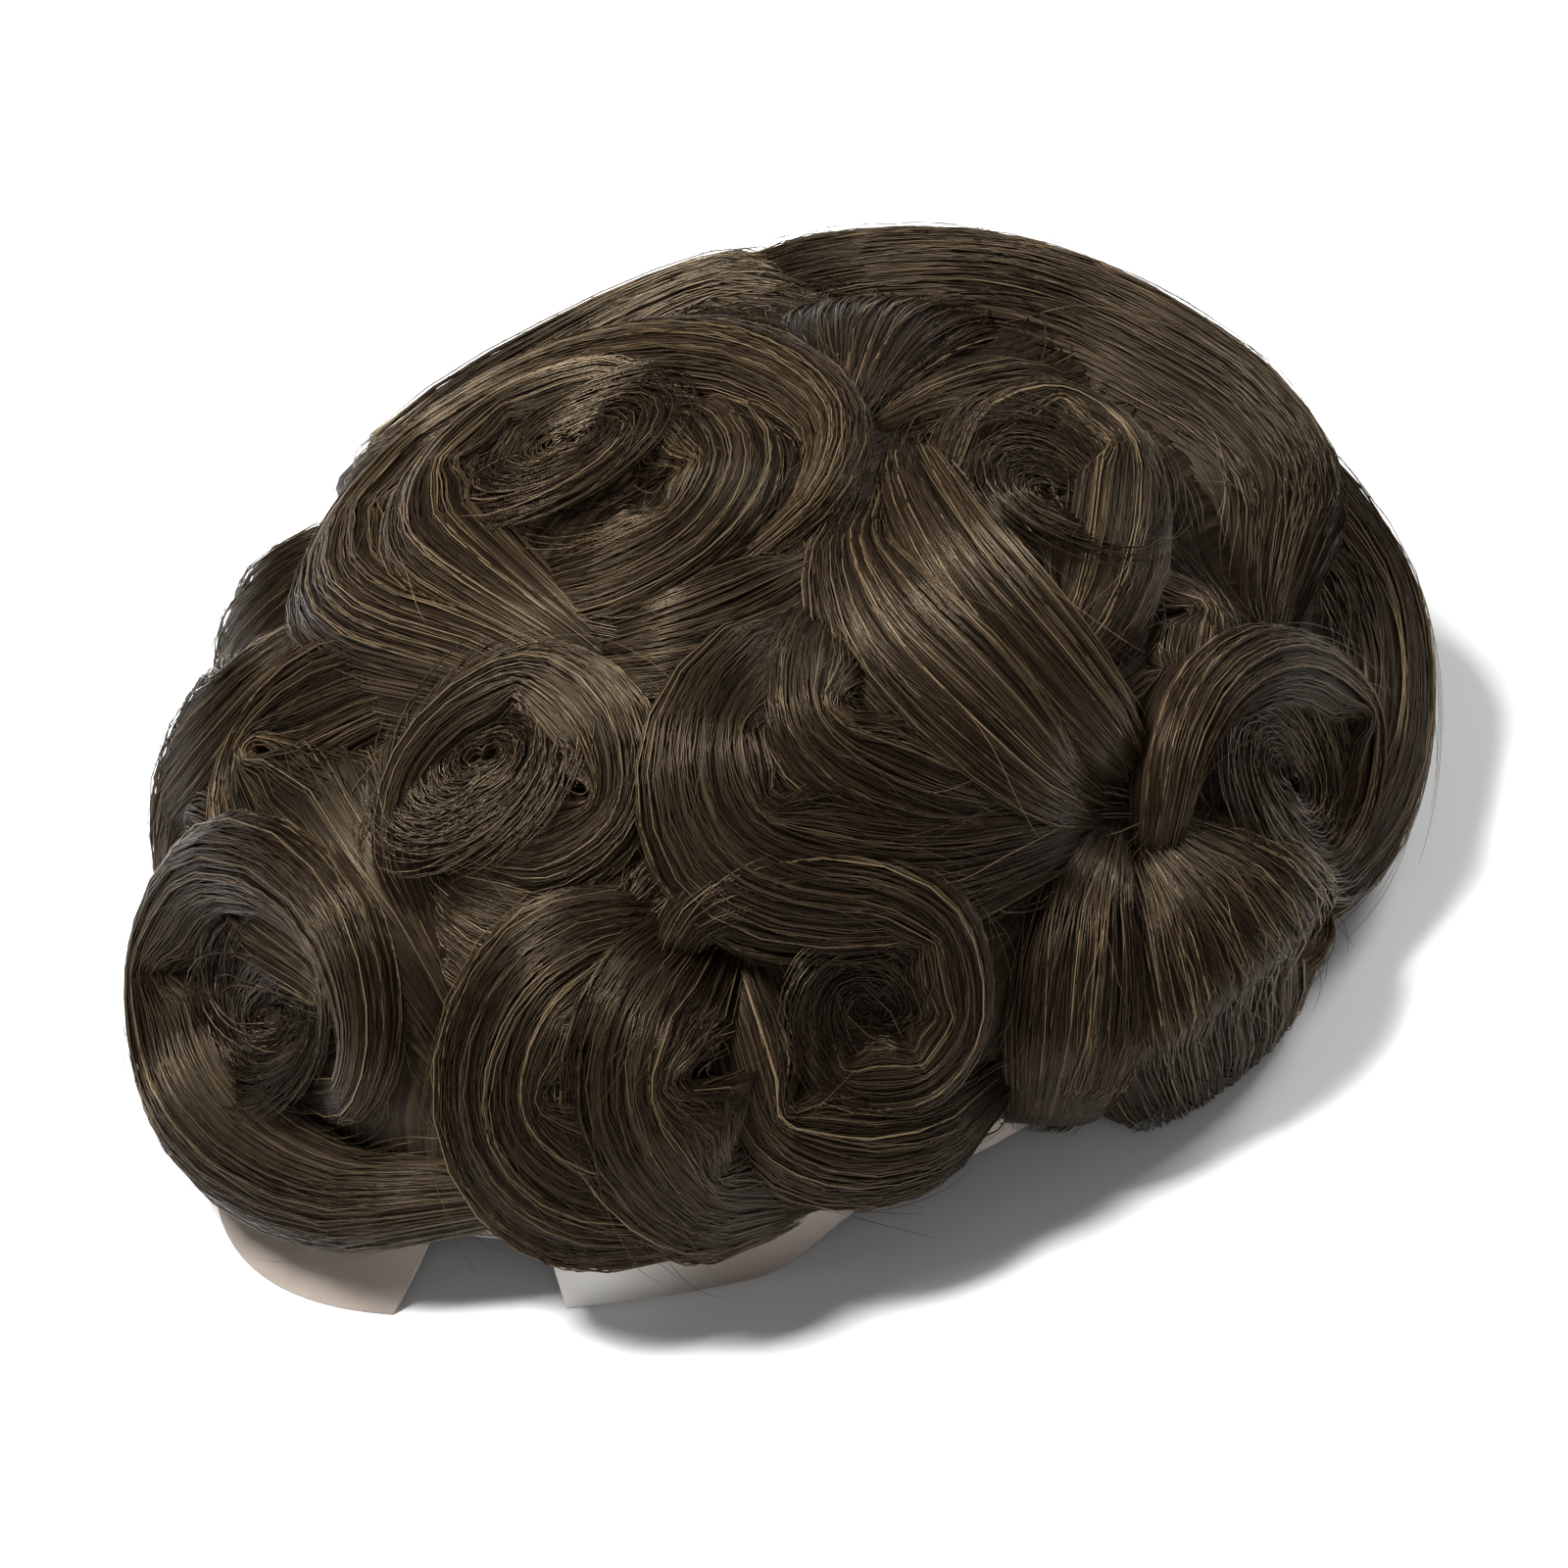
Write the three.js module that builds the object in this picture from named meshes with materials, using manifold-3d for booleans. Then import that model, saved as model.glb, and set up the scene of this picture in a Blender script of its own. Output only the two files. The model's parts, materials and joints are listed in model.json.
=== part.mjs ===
// A styled hairpiece in millimetres, +Z up, standing on the rim of its cap.
// The wearer's face looks along -Y and the wearer's left side is +X. The origin is on the surface
// that the rim stands on, under the middle of the whole piece.
//
// It is two pieces: a thin poly skin cap, and the hair on it. The hair is a short rooted bed with
// waved and pin-curled locks fused to it.
// Places on the head are given on a flat chart of it: across and along are shares of the way from the
// crown to the rim, so the crown is 0, 0, the forehead 0, -1 and the wearer's left ear 1, 0.

import * as THREE from 'three';
import { mergeVertices } from 'three/addons/utils/BufferGeometryUtils.js';
import Module from 'manifold-3d';

// Skin cap
const capHalfWidth = 74;
const capHalfLength = 95;
const capHeight = 84;
const skinThickness = 1;
const frontReach = 17; // how far the loose margin splays out in front, past the head
const frontDirection = -100; // degrees on the chart, where it splays out furthest
const templeReach = 1.5; // the same over the temples
const backReach = 0.5; // and round the back
const hemStart = 0.84; // the share of the way down where the margin starts to splay
const trims = [ // stretches of the margin that are cut back, in degrees on the chart, with the cut's taper
  { from: -83, to: -66, taper: 2, edge: 0.92 },
  { from: -47, to: -4, taper: 14, edge: 0.94 },
];

// Hair
const bedClearance = 0.3;
const bedThickness = 6;
const rootDepth = 2; // how far each lock reaches down into the bed
const hairDepth = 25; // the tallest lock's rise from there

// Fineness of the faceted solids
const capColumns = 36;
const bedRings = [0.15, 0.3, 0.45, 0.59, 0.72, 0.81, 0.88]; // shares of the way down; the hair ends at the last
const marginRings = [0.94, 1];
const archPoints = 7;
const sectionsPerRow = 2;
const tipFullness = 0.6; // how much of its size a lock keeps at its rounded tips
const tipReach = 0.6; // how far a tip reaches on, as a share of its half width
const bendRoom = 0.5; // the share of a bend's radius that a lock may fill on the inside

const hairColour = 0x2f2820;
const skinColour = 0xcfc6bd;

const quarterTurn = Math.PI / 2;
const bedBottom = skinThickness + bedClearance;
const bedTop = bedBottom + bedThickness;
const lockBottom = bedTop - rootDepth;

// A point of the head's form, pushed out by lift, for a place on the chart.
function onHead(across, along, lift) {
  const down = Math.hypot(across, along);
  const angle = down * quarterTurn;
  const stretch = down > 1e-6 ? Math.sin(angle) / down : quarterTurn;
  return new THREE.Vector3(
    (capHalfWidth + lift) * stretch * across,
    (capHalfLength + lift) * stretch * along,
    (capHeight + lift) * Math.cos(angle),
  );
}

// How far the margin splays out at the rim, for a direction on the chart.
function marginReach(direction) {
  const front = Math.max(0, Math.cos(direction - THREE.MathUtils.degToRad(frontDirection)));
  return backReach + (templeReach - backReach) * front + (frontReach - templeReach) * front ** 9;
}

// The skin at a share of the way down. Its margin splays out from the hem to the rim, and is given
// more sideways lift where it leans, so that it keeps its thickness.
function onSkin(down, direction, lift) {
  const point = onHead(down * Math.cos(direction), down * Math.sin(direction), lift);
  const share = Math.max(0, (down - hemStart) / (1 - hemStart));
  const reach = marginReach(direction);
  const slope = (1.6 * share ** 0.6 * reach) / (capHeight * Math.cos(hemStart * quarterTurn));
  const splay = reach * share ** 1.6 + lift * (Math.hypot(1, slope) - 1);
  return point.addScaledVector(new THREE.Vector3(point.x, point.y, 0).normalize(), splay);
}

// Where the skin ends in a direction: at the rim, or at a trimmed stretch of the margin.
function skinEdge(direction) {
  const degrees = THREE.MathUtils.radToDeg(direction);
  return trims.reduce((end, { from, to, taper, edge }) => {
    const trimmed = THREE.MathUtils.smoothstep(Math.min(degrees - from, to - degrees), 0, taper);
    return Math.min(end, THREE.MathUtils.lerp(1, edge, trimmed));
  }, 1);
}

// The chart's directions in a round, with more of them at the ends of the sharp trim.
function capDirections() {
  const step = 360 / capColumns;
  const even = Array.from({ length: capColumns }, (_, i) => -180 + i * step);
  const { from, to, taper } = trims[0];
  const cuts = [from, from + taper, to - taper, to];
  const clear = even.filter((degrees) => cuts.every((cut) => Math.abs(cut - degrees) > taper));
  return [...clear, ...cuts].sort((a, b) => a - b).map(THREE.MathUtils.degToRad);
}

// A closed surface through a row of equal rings, closed at both ends by a fan round a tip.
function surfaceOf(rings, startTip, endTip) {
  const count = rings[0].length;
  const points = [startTip, ...rings.flat(), endTip];
  const last = points.length - 1;
  const at = (ring, i) => 1 + ring * count + (i % count);
  const faces = [];
  for (let i = 0; i < count; i++) {
    faces.push(0, at(0, i), at(0, i + 1));
    for (let ring = 0; ring < rings.length - 1; ring++) {
      faces.push(at(ring, i), at(ring + 1, i), at(ring + 1, i + 1));
      faces.push(at(ring, i), at(ring + 1, i + 1), at(ring, i + 1));
    }
    faces.push(last, at(rings.length - 1, i + 1), at(rings.length - 1, i));
  }
  const geometry = new THREE.BufferGeometry();
  geometry.setFromPoints(points);
  geometry.setIndex(faces);
  return geometry;
}

// Rings round the head at shares of the way down, and at one lift. Rings past the bed are drawn in
// where the margin is trimmed.
function ringsAt(shares, lift) {
  const hem = bedRings.at(-1);
  return shares.map((share) => capDirections().map((direction) => {
    const kept = (skinEdge(direction) - hem) / (1 - hem);
    return onSkin(share > hem ? hem + (share - hem) * kept : share, direction, lift);
  }));
}

// A shell over the head between two lifts.
function shellGeometry(shares, inner, outer) {
  const rings = [...ringsAt(shares, outer), ...ringsAt(shares, inner).reverse()];
  return surfaceOf(rings, onHead(0, 0, outer), onHead(0, 0, inner));
}

// The head itself up to a lift, and all that is under its rim.
function headGeometry(lift) {
  const rings = ringsAt([...bedRings, ...marginRings], lift);
  const below = rings.at(-1).map((point) => new THREE.Vector3(point.x, point.y, -capHeight));
  return surfaceOf([...rings, below], onHead(0, 0, lift), new THREE.Vector3(0, 0, -capHeight));
}

// A smooth value through a table's column, at a place counted in rows.
function columnAt(rows, column, place) {
  const i = Math.min(Math.floor(place), rows.length - 2);
  const t = place - i;
  const value = (k) => rows[THREE.MathUtils.clamp(k, 0, rows.length - 1)][column];
  const [a, b, c, d] = [value(i - 1), value(i), value(i + 1), value(i + 2)];
  return b + 0.5 * t * (c - a + t * (2 * a - 5 * b + 4 * c - d + t * (3 * (b - c) + d - a)));
}

// A lock's path on the chart, at a place counted in rows.
function pathAt(rows, place) {
  const held = THREE.MathUtils.clamp(place, 0, rows.length - 1);
  return new THREE.Vector2(columnAt(rows, 'across', held), columnAt(rows, 'along', held));
}

// One lock: a strip of hair that follows its table's path over the bed, with an arched section and
// rounded ends. On the inside of a bend the strip is never wider than the bend allows.
function lockGeometry({ rows, lean = 0 }) {
  const sections = Math.round(rows.length * sectionsPerRow);
  const rings = [];
  for (let k = -1; k <= sections; k++) {
    const place = THREE.MathUtils.clamp((k * (rows.length - 1)) / (sections - 1), 0, rows.length - 1);
    const past = k < 0 ? -1 : k < sections ? 0 : 1;
    const fullness = past === 0 ? 1 : tipFullness;
    const behind = pathAt(rows, place - 0.3);
    const here = pathAt(rows, place);
    const ahead = pathAt(rows, place + 0.3);
    const path = ahead.clone().sub(behind);
    const turned = here.clone().sub(behind).cross(ahead.clone().sub(here));
    const bend = (8 * turned) / Math.max(1e-9, path.length() ** 3);
    path.normalize();
    const wide = Math.max(0.012, columnAt(rows, 'wide', place)) * fullness;
    here.addScaledVector(path, past * wide * tipReach);
    const inside = Math.min(wide, bendRoom / Math.abs(bend));
    const left = bend > 0 ? inside : wide;
    const right = bend > 0 ? wide : inside;
    const high = Math.max(0.05, columnAt(rows, 'high', place)) * hairDepth * fullness;
    const ring = [onHead(here.x, here.y, lockBottom - rootDepth / 2)];
    for (let i = 0; i < archPoints; i++) {
      const turn = (1 - i / (archPoints - 1)) * Math.PI;
      const rise = Math.max(0, Math.sin(turn));
      const share = Math.cos(turn) + lean * rise;
      const side = share * (share > 0 ? left : right);
      const lift = lockBottom + high * rise ** 0.8;
      ring.push(onHead(here.x - path.y * side, here.y + path.x * side, lift));
    }
    rings.push(ring);
  }
  const middle = (ring) => ring.reduce((sum, p) => sum.add(p), new THREE.Vector3()).divideScalar(ring.length);
  return surfaceOf(rings, middle(rings[0]), middle(rings.at(-1)));
}

// The locks' tables. Places, widths and heights are shares: of the way from the crown to the rim,
// and of hairDepth. wide is half of the strip's width.
const locks = [
  { name: 'back_rope', lean: 0.15, rows: [
    { across: -0.30, along: 0.34, wide: 0.03, high: 0.50 },
    { across: -0.20, along: 0.40, wide: 0.05, high: 0.74 },
    { across: -0.07, along: 0.45, wide: 0.065, high: 0.82 },
    { across: 0.06, along: 0.47, wide: 0.08, high: 0.84 },
    { across: 0.18, along: 0.47, wide: 0.09, high: 0.88 },
    { across: 0.30, along: 0.48, wide: 0.10, high: 0.94 },
    { across: 0.42, along: 0.46, wide: 0.10, high: 0.90 },
    { across: 0.53, along: 0.39, wide: 0.06, high: 0.55 },
  ] },
  { name: 'side_roll_upper', rows: [
    { across: 0.15, along: 0.14, wide: 0.03, high: 0.15 },
    { across: 0.23, along: 0.07, wide: 0.055, high: 0.40 },
    { across: 0.34, along: 0.02, wide: 0.07, high: 0.60 },
    { across: 0.45, along: 0.01, wide: 0.07, high: 0.66 },
    { across: 0.56, along: 0.03, wide: 0.06, high: 0.52 },
    { across: 0.64, along: 0.07, wide: 0.03, high: 0.22 },
  ] },
  { name: 'brow_curl', lean: 0.1, rows: [
    { across: 0.37, along: -0.49, wide: 0.03, high: 0.48 },
    { across: 0.37, along: -0.42, wide: 0.045, high: 0.64 },
    { across: 0.42, along: -0.35, wide: 0.055, high: 0.72 },
    { across: 0.50, along: -0.29, wide: 0.055, high: 0.75 },
    { across: 0.58, along: -0.27, wide: 0.055, high: 0.75 },
    { across: 0.65, along: -0.31, wide: 0.055, high: 0.70 },
    { across: 0.66, along: -0.38, wide: 0.055, high: 0.60 },
    { across: 0.60, along: -0.44, wide: 0.05, high: 0.50 },
    { across: 0.53, along: -0.43, wide: 0.045, high: 0.38 },
  ] },
  { name: 'ear_curl', lean: 0.1, rows: [
    { across: 0.71, along: 0.03, wide: 0.04, high: 0.45 },
    { across: 0.64, along: 0.07, wide: 0.045, high: 0.62 },
    { across: 0.60, along: 0.16, wide: 0.055, high: 0.72 },
    { across: 0.61, along: 0.28, wide: 0.06, high: 0.74 },
    { across: 0.68, along: 0.37, wide: 0.06, high: 0.74 },
    { across: 0.77, along: 0.33, wide: 0.055, high: 0.66 },
    { across: 0.81, along: 0.25, wide: 0.055, high: 0.56 },
    { across: 0.76, along: 0.16, wide: 0.05, high: 0.44 },
  ] },
  { name: 'side_roll_lower', lean: -0.1, rows: [
    { across: 0.28, along: -0.12, wide: 0.03, high: 0.20 },
    { across: 0.27, along: -0.21, wide: 0.07, high: 0.55 },
    { across: 0.28, along: -0.30, wide: 0.09, high: 0.74 },
    { across: 0.36, along: -0.34, wide: 0.10, high: 0.78 },
    { across: 0.45, along: -0.30, wide: 0.09, high: 0.74 },
    { across: 0.54, along: -0.22, wide: 0.08, high: 0.64 },
    { across: 0.60, along: -0.11, wide: 0.06, high: 0.46 },
    { across: 0.65, along: -0.02, wide: 0.03, high: 0.18 },
  ] },
  { name: 'side_roll_middle', rows: [
    { across: 0.20, along: 0.03, wide: 0.03, high: 0.15 },
    { across: 0.25, along: -0.05, wide: 0.07, high: 0.42 },
    { across: 0.35, along: -0.10, wide: 0.11, high: 0.64 },
    { across: 0.47, along: -0.10, wide: 0.11, high: 0.68 },
    { across: 0.57, along: -0.07, wide: 0.08, high: 0.52 },
    { across: 0.64, along: 0.00, wide: 0.03, high: 0.18 },
  ] },
  { name: 'front_roll', rows: [
    { across: 0.36, along: -0.44, wide: 0.03, high: 0.25 },
    { across: 0.30, along: -0.50, wide: 0.07, high: 0.55 },
    { across: 0.25, along: -0.58, wide: 0.11, high: 0.72 },
    { across: 0.24, along: -0.67, wide: 0.14, high: 0.80 },
    { across: 0.35, along: -0.69, wide: 0.12, high: 0.72 },
    { across: 0.48, along: -0.65, wide: 0.08, high: 0.56 },
    { across: 0.62, along: -0.58, wide: 0.05, high: 0.35 },
  ] },
  { name: 'side_curl', rows: [
    { across: 0.26, along: 0.08, wide: 0.035, high: 0.28 },
    { across: 0.21, along: 0.17, wide: 0.05, high: 0.42 },
    { across: 0.23, along: 0.26, wide: 0.06, high: 0.50 },
    { across: 0.32, along: 0.27, wide: 0.07, high: 0.54 },
    { across: 0.40, along: 0.20, wide: 0.08, high: 0.52 },
    { across: 0.46, along: 0.12, wide: 0.07, high: 0.42 },
    { across: 0.49, along: 0.05, wide: 0.04, high: 0.20 },
  ] },
  { name: 'crown_curl', rows: [
    { across: -0.16, along: -0.03, wide: 0.06, high: 0.28 },
    { across: -0.04, along: -0.02, wide: 0.08, high: 0.36 },
    { across: 0.05, along: -0.06, wide: 0.09, high: 0.38 },
    { across: 0.07, along: -0.13, wide: 0.09, high: 0.36 },
    { across: 0.02, along: -0.20, wide: 0.08, high: 0.30 },
  ] },
  { name: 'crown_wave', rows: [
    { across: 0.15, along: -0.12, wide: 0.025, high: 0.22 },
    { across: 0.17, along: -0.03, wide: 0.035, high: 0.36 },
    { across: 0.11, along: 0.06, wide: 0.045, high: 0.44 },
    { across: -0.02, along: 0.08, wide: 0.06, high: 0.50 },
    { across: -0.15, along: 0.05, wide: 0.07, high: 0.54 },
    { across: -0.30, along: 0.00, wide: 0.10, high: 0.60 },
    { across: -0.33, along: -0.13, wide: 0.17, high: 0.60 },
    { across: -0.21, along: -0.25, wide: 0.17, high: 0.56 },
    { across: -0.05, along: -0.31, wide: 0.11, high: 0.48 },
    { across: 0.10, along: -0.31, wide: 0.07, high: 0.36 },
    { across: 0.23, along: -0.31, wide: 0.03, high: 0.16 },
  ] },
  { name: 'temple_curl', rows: [
    { across: 0.06, along: -0.58, wide: 0.03, high: 0.38 },
    { across: 0.00, along: -0.52, wide: 0.04, high: 0.50 },
    { across: -0.02, along: -0.45, wide: 0.045, high: 0.56 },
    { across: 0.01, along: -0.38, wide: 0.05, high: 0.60 },
    { across: 0.07, along: -0.33, wide: 0.055, high: 0.58 },
    { across: 0.16, along: -0.34, wide: 0.065, high: 0.55 },
    { across: 0.21, along: -0.39, wide: 0.07, high: 0.48 },
    { across: 0.17, along: -0.45, wide: 0.07, high: 0.40 },
    { across: 0.08, along: -0.48, wide: 0.05, high: 0.28 },
  ] },
  { name: 'forelock_curl', lean: 0.1, rows: [
    { across: 0.22, along: -0.82, wide: 0.05, high: 0.35 },
    { across: 0.03, along: -0.88, wide: 0.06, high: 0.56 },
    { across: -0.18, along: -0.87, wide: 0.07, high: 0.70 },
    { across: -0.34, along: -0.80, wide: 0.08, high: 0.78 },
    { across: -0.39, along: -0.68, wide: 0.075, high: 0.82 },
    { across: -0.30, along: -0.59, wide: 0.065, high: 0.80 },
    { across: -0.15, along: -0.575, wide: 0.06, high: 0.74 },
    { across: -0.02, along: -0.61, wide: 0.055, high: 0.68 },
    { across: 0.04, along: -0.68, wide: 0.055, high: 0.58 },
    { across: 0.02, along: -0.75, wide: 0.05, high: 0.45 },
    { across: -0.08, along: -0.785, wide: 0.04, high: 0.28 },
  ] },
  { name: 'crown_sweep', rows: [
    { across: 0.19, along: 0.00, wide: 0.03, high: 0.16 },
    { across: 0.23, along: -0.08, wide: 0.07, high: 0.30 },
    { across: 0.21, along: -0.17, wide: 0.09, high: 0.38 },
    { across: 0.15, along: -0.24, wide: 0.08, high: 0.36 },
    { across: 0.06, along: -0.28, wide: 0.05, high: 0.20 },
  ] },
  { name: 'brow_band', rows: [
    { across: 0.41, along: -0.45, wide: 0.04, high: 0.45 },
    { across: 0.46, along: -0.49, wide: 0.07, high: 0.60 },
    { across: 0.55, along: -0.52, wide: 0.08, high: 0.66 },
    { across: 0.65, along: -0.49, wide: 0.08, high: 0.64 },
    { across: 0.73, along: -0.41, wide: 0.07, high: 0.54 },
    { across: 0.77, along: -0.32, wide: 0.04, high: 0.32 },
  ] },
  { name: 'ear_wave', rows: [
    { across: 0.70, along: 0.02, wide: 0.05, high: 0.30 },
    { across: 0.74, along: -0.03, wide: 0.14, high: 0.58 },
    { across: 0.78, along: -0.06, wide: 0.21, high: 0.74 },
    { across: 0.82, along: -0.07, wide: 0.23, high: 0.74 },
    { across: 0.85, along: -0.08, wide: 0.20, high: 0.50 },
  ] },
  { name: 'neck_lock', rows: [
    { across: 0.78, along: 0.22, wide: 0.06, high: 0.45 },
    { across: 0.82, along: 0.18, wide: 0.12, high: 0.72 },
    { across: 0.86, along: 0.15, wide: 0.13, high: 0.80 },
    { across: 0.885, along: 0.13, wide: 0.11, high: 0.55 },
  ] },
  { name: 'temple_wave', rows: [
    { across: 0.12, along: -0.31, wide: 0.02, high: 0.15 },
    { across: 0.03, along: -0.32, wide: 0.03, high: 0.28 },
    { across: -0.10, along: -0.35, wide: 0.07, high: 0.42 },
    { across: -0.23, along: -0.40, wide: 0.13, high: 0.56 },
    { across: -0.29, along: -0.47, wide: 0.16, high: 0.62 },
    { across: -0.22, along: -0.54, wide: 0.16, high: 0.58 },
    { across: -0.06, along: -0.60, wide: 0.14, high: 0.50 },
    { across: 0.06, along: -0.65, wide: 0.12, high: 0.40 },
    { across: 0.16, along: -0.71, wide: 0.08, high: 0.24 },
  ] },
  { name: 'ear_lock', rows: [
    { across: 0.45, along: 0.22, wide: 0.04, high: 0.30 },
    { across: 0.52, along: 0.23, wide: 0.06, high: 0.44 },
    { across: 0.58, along: 0.16, wide: 0.06, high: 0.42 },
    { across: 0.58, along: 0.08, wide: 0.04, high: 0.20 },
  ] },
  { name: 'crown_tuft', rows: [
    { across: 0.09, along: 0.09, wide: 0.03, high: 0.20 },
    { across: 0.04, along: 0.16, wide: 0.08, high: 0.30 },
    { across: -0.03, along: 0.25, wide: 0.14, high: 0.34 },
    { across: -0.08, along: 0.33, wide: 0.17, high: 0.34 },
    { across: -0.11, along: 0.40, wide: 0.17, high: 0.30 },
  ] },
  { name: 'parting_tuft', rows: [
    { across: 0.12, along: 0.11, wide: 0.03, high: 0.20 },
    { across: 0.15, along: 0.19, wide: 0.07, high: 0.30 },
    { across: 0.17, along: 0.28, wide: 0.10, high: 0.34 },
    { across: 0.19, along: 0.36, wide: 0.12, high: 0.34 },
  ] },
  { name: 'far_rope', rows: [
    { across: -0.24, along: 0.37, wide: 0.05, high: 0.60 },
    { across: -0.36, along: 0.34, wide: 0.08, high: 0.78 },
    { across: -0.46, along: 0.28, wide: 0.09, high: 0.82 },
    { across: -0.54, along: 0.20, wide: 0.09, high: 0.84 },
    { across: -0.61, along: 0.09, wide: 0.09, high: 0.90 },
    { across: -0.66, along: -0.03, wide: 0.08, high: 0.92 },
  ] },
  { name: 'nape_rope', rows: [
    { across: 0.16, along: 0.60, wide: 0.05, high: 0.50 },
    { across: 0.28, along: 0.63, wide: 0.08, high: 0.72 },
    { across: 0.41, along: 0.64, wide: 0.09, high: 0.82 },
    { across: 0.53, along: 0.63, wide: 0.09, high: 0.86 },
    { across: 0.65, along: 0.57, wide: 0.09, high: 0.80 },
    { across: 0.75, along: 0.46, wide: 0.09, high: 0.74 },
    { across: 0.81, along: 0.34, wide: 0.09, high: 0.66 },
    { across: 0.84, along: 0.21, wide: 0.07, high: 0.50 },
    { across: 0.85, along: 0.12, wide: 0.04, high: 0.30 },
  ] },
  { name: 'far_fringe', rows: [
    { across: -0.60, along: -0.08, wide: 0.06, high: 0.65 },
    { across: -0.66, along: -0.20, wide: 0.09, high: 0.74 },
    { across: -0.70, along: -0.32, wide: 0.09, high: 0.68 },
    { across: -0.72, along: -0.44, wide: 0.05, high: 0.40 },
  ] },
  { name: 'temple_fan', rows: [
    { across: 0.04, along: -0.54, wide: 0.04, high: 0.24 },
    { across: 0.12, along: -0.55, wide: 0.09, high: 0.30 },
    { across: 0.22, along: -0.53, wide: 0.11, high: 0.32 },
    { across: 0.30, along: -0.47, wide: 0.10, high: 0.32 },
    { across: 0.32, along: -0.38, wide: 0.06, high: 0.26 },
  ] },
  { name: 'forelock_tuft', rows: [
    { across: -0.28, along: -0.55, wide: 0.04, high: 0.45 },
    { across: -0.40, along: -0.52, wide: 0.06, high: 0.60 },
    { across: -0.48, along: -0.56, wide: 0.04, high: 0.40 },
  ] },
];

// The hidden side and the nape: plain waves side by side, that sway as they run down to the edge.
const plainWaves = 8;
const plainFrom = 70; // degrees on the chart, from the nape round to the far brow
const plainTo = 222;
const plainSway = 0.05;
const plainRows = [
  { down: 0.42, wide: 0.06, high: 0.40 },
  { down: 0.55, wide: 0.11, high: 0.72 },
  { down: 0.68, wide: 0.14, high: 0.78 },
  { down: 0.80, wide: 0.14, high: 0.62 },
  { down: 0.89, wide: 0.09, high: 0.30 },
];
for (let k = 0; k < plainWaves; k++) {
  const direction = THREE.MathUtils.degToRad(plainFrom + ((plainTo - plainFrom) * k) / (plainWaves - 1));
  const rows = plainRows.map(({ down, wide, high }, i) => {
    const sway = plainSway * Math.sin((i / (plainRows.length - 1)) * 2 * Math.PI);
    return {
      across: down * Math.cos(direction) - sway * Math.sin(direction),
      along: down * Math.sin(direction) + sway * Math.cos(direction),
      wide,
      high,
    };
  });
  locks.push({ name: `back_wave_${k + 1}`, rows });
}

const wasm = await Module();
wasm.setup();

function solidOf(geometry) {
  const merged = mergeVertices(geometry);
  const solid = new wasm.Manifold(new wasm.Mesh({
    numProp: 3,
    vertProperties: merged.getAttribute('position').array,
    triVerts: new Uint32Array(merged.index.array),
  }));
  if (solid.volume() > 0) return solid;
  merged.index.array.reverse();
  return solidOf(merged);
}

function geometryOf(solid) {
  const { vertProperties, triVerts } = solid.getMesh();
  const geometry = new THREE.BufferGeometry();
  geometry.setAttribute('position', new THREE.BufferAttribute(vertProperties, 3));
  geometry.setIndex(new THREE.BufferAttribute(triVerts, 1));
  return geometry;
}

// All the hair as one solid, cut clear of the skin.
function hairSolid() {
  const bed = solidOf(shellGeometry(bedRings, bedBottom, bedTop));
  const whole = locks.reduce((hair, lock) => hair.add(solidOf(lockGeometry(lock))), bed);
  return whole.subtract(solidOf(headGeometry(bedBottom)));
}

const materials = {
  skin: new THREE.MeshStandardMaterial({
    color: skinColour, roughness: 0.35, transparent: true, opacity: 0.75, side: THREE.DoubleSide,
  }),
  hair: new THREE.MeshStandardMaterial({ color: hairColour, roughness: 0.45 }),
};

function mesh(name, geometry, material) {
  const made = new THREE.Mesh(geometry, material);
  made.name = name;
  return made;
}

const skinCap = geometryOf(solidOf(shellGeometry([...bedRings, ...marginRings], 0, skinThickness)));

const hairpiece = new THREE.Group();
hairpiece.add(mesh('skin_cap', skinCap, materials.skin), mesh('hair', geometryOf(hairSolid()), materials.hair));

// The origin is put under the middle of the whole piece.
const middle = new THREE.Box3().setFromObject(hairpiece).getCenter(new THREE.Vector3());
for (const { geometry } of hairpiece.children) geometry.translate(-middle.x, -middle.y, 0);

export default hairpiece;
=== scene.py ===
# A short hairpiece set in pin curls and waves, on a thin clear skin cap, dressed on its CAD frame.
# Metres, +Z up. The forehead looks along -Y and the wearer's left side is +X.
import json
import math

import bpy
import numpy as np
from mathutils import Matrix, Vector

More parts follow.
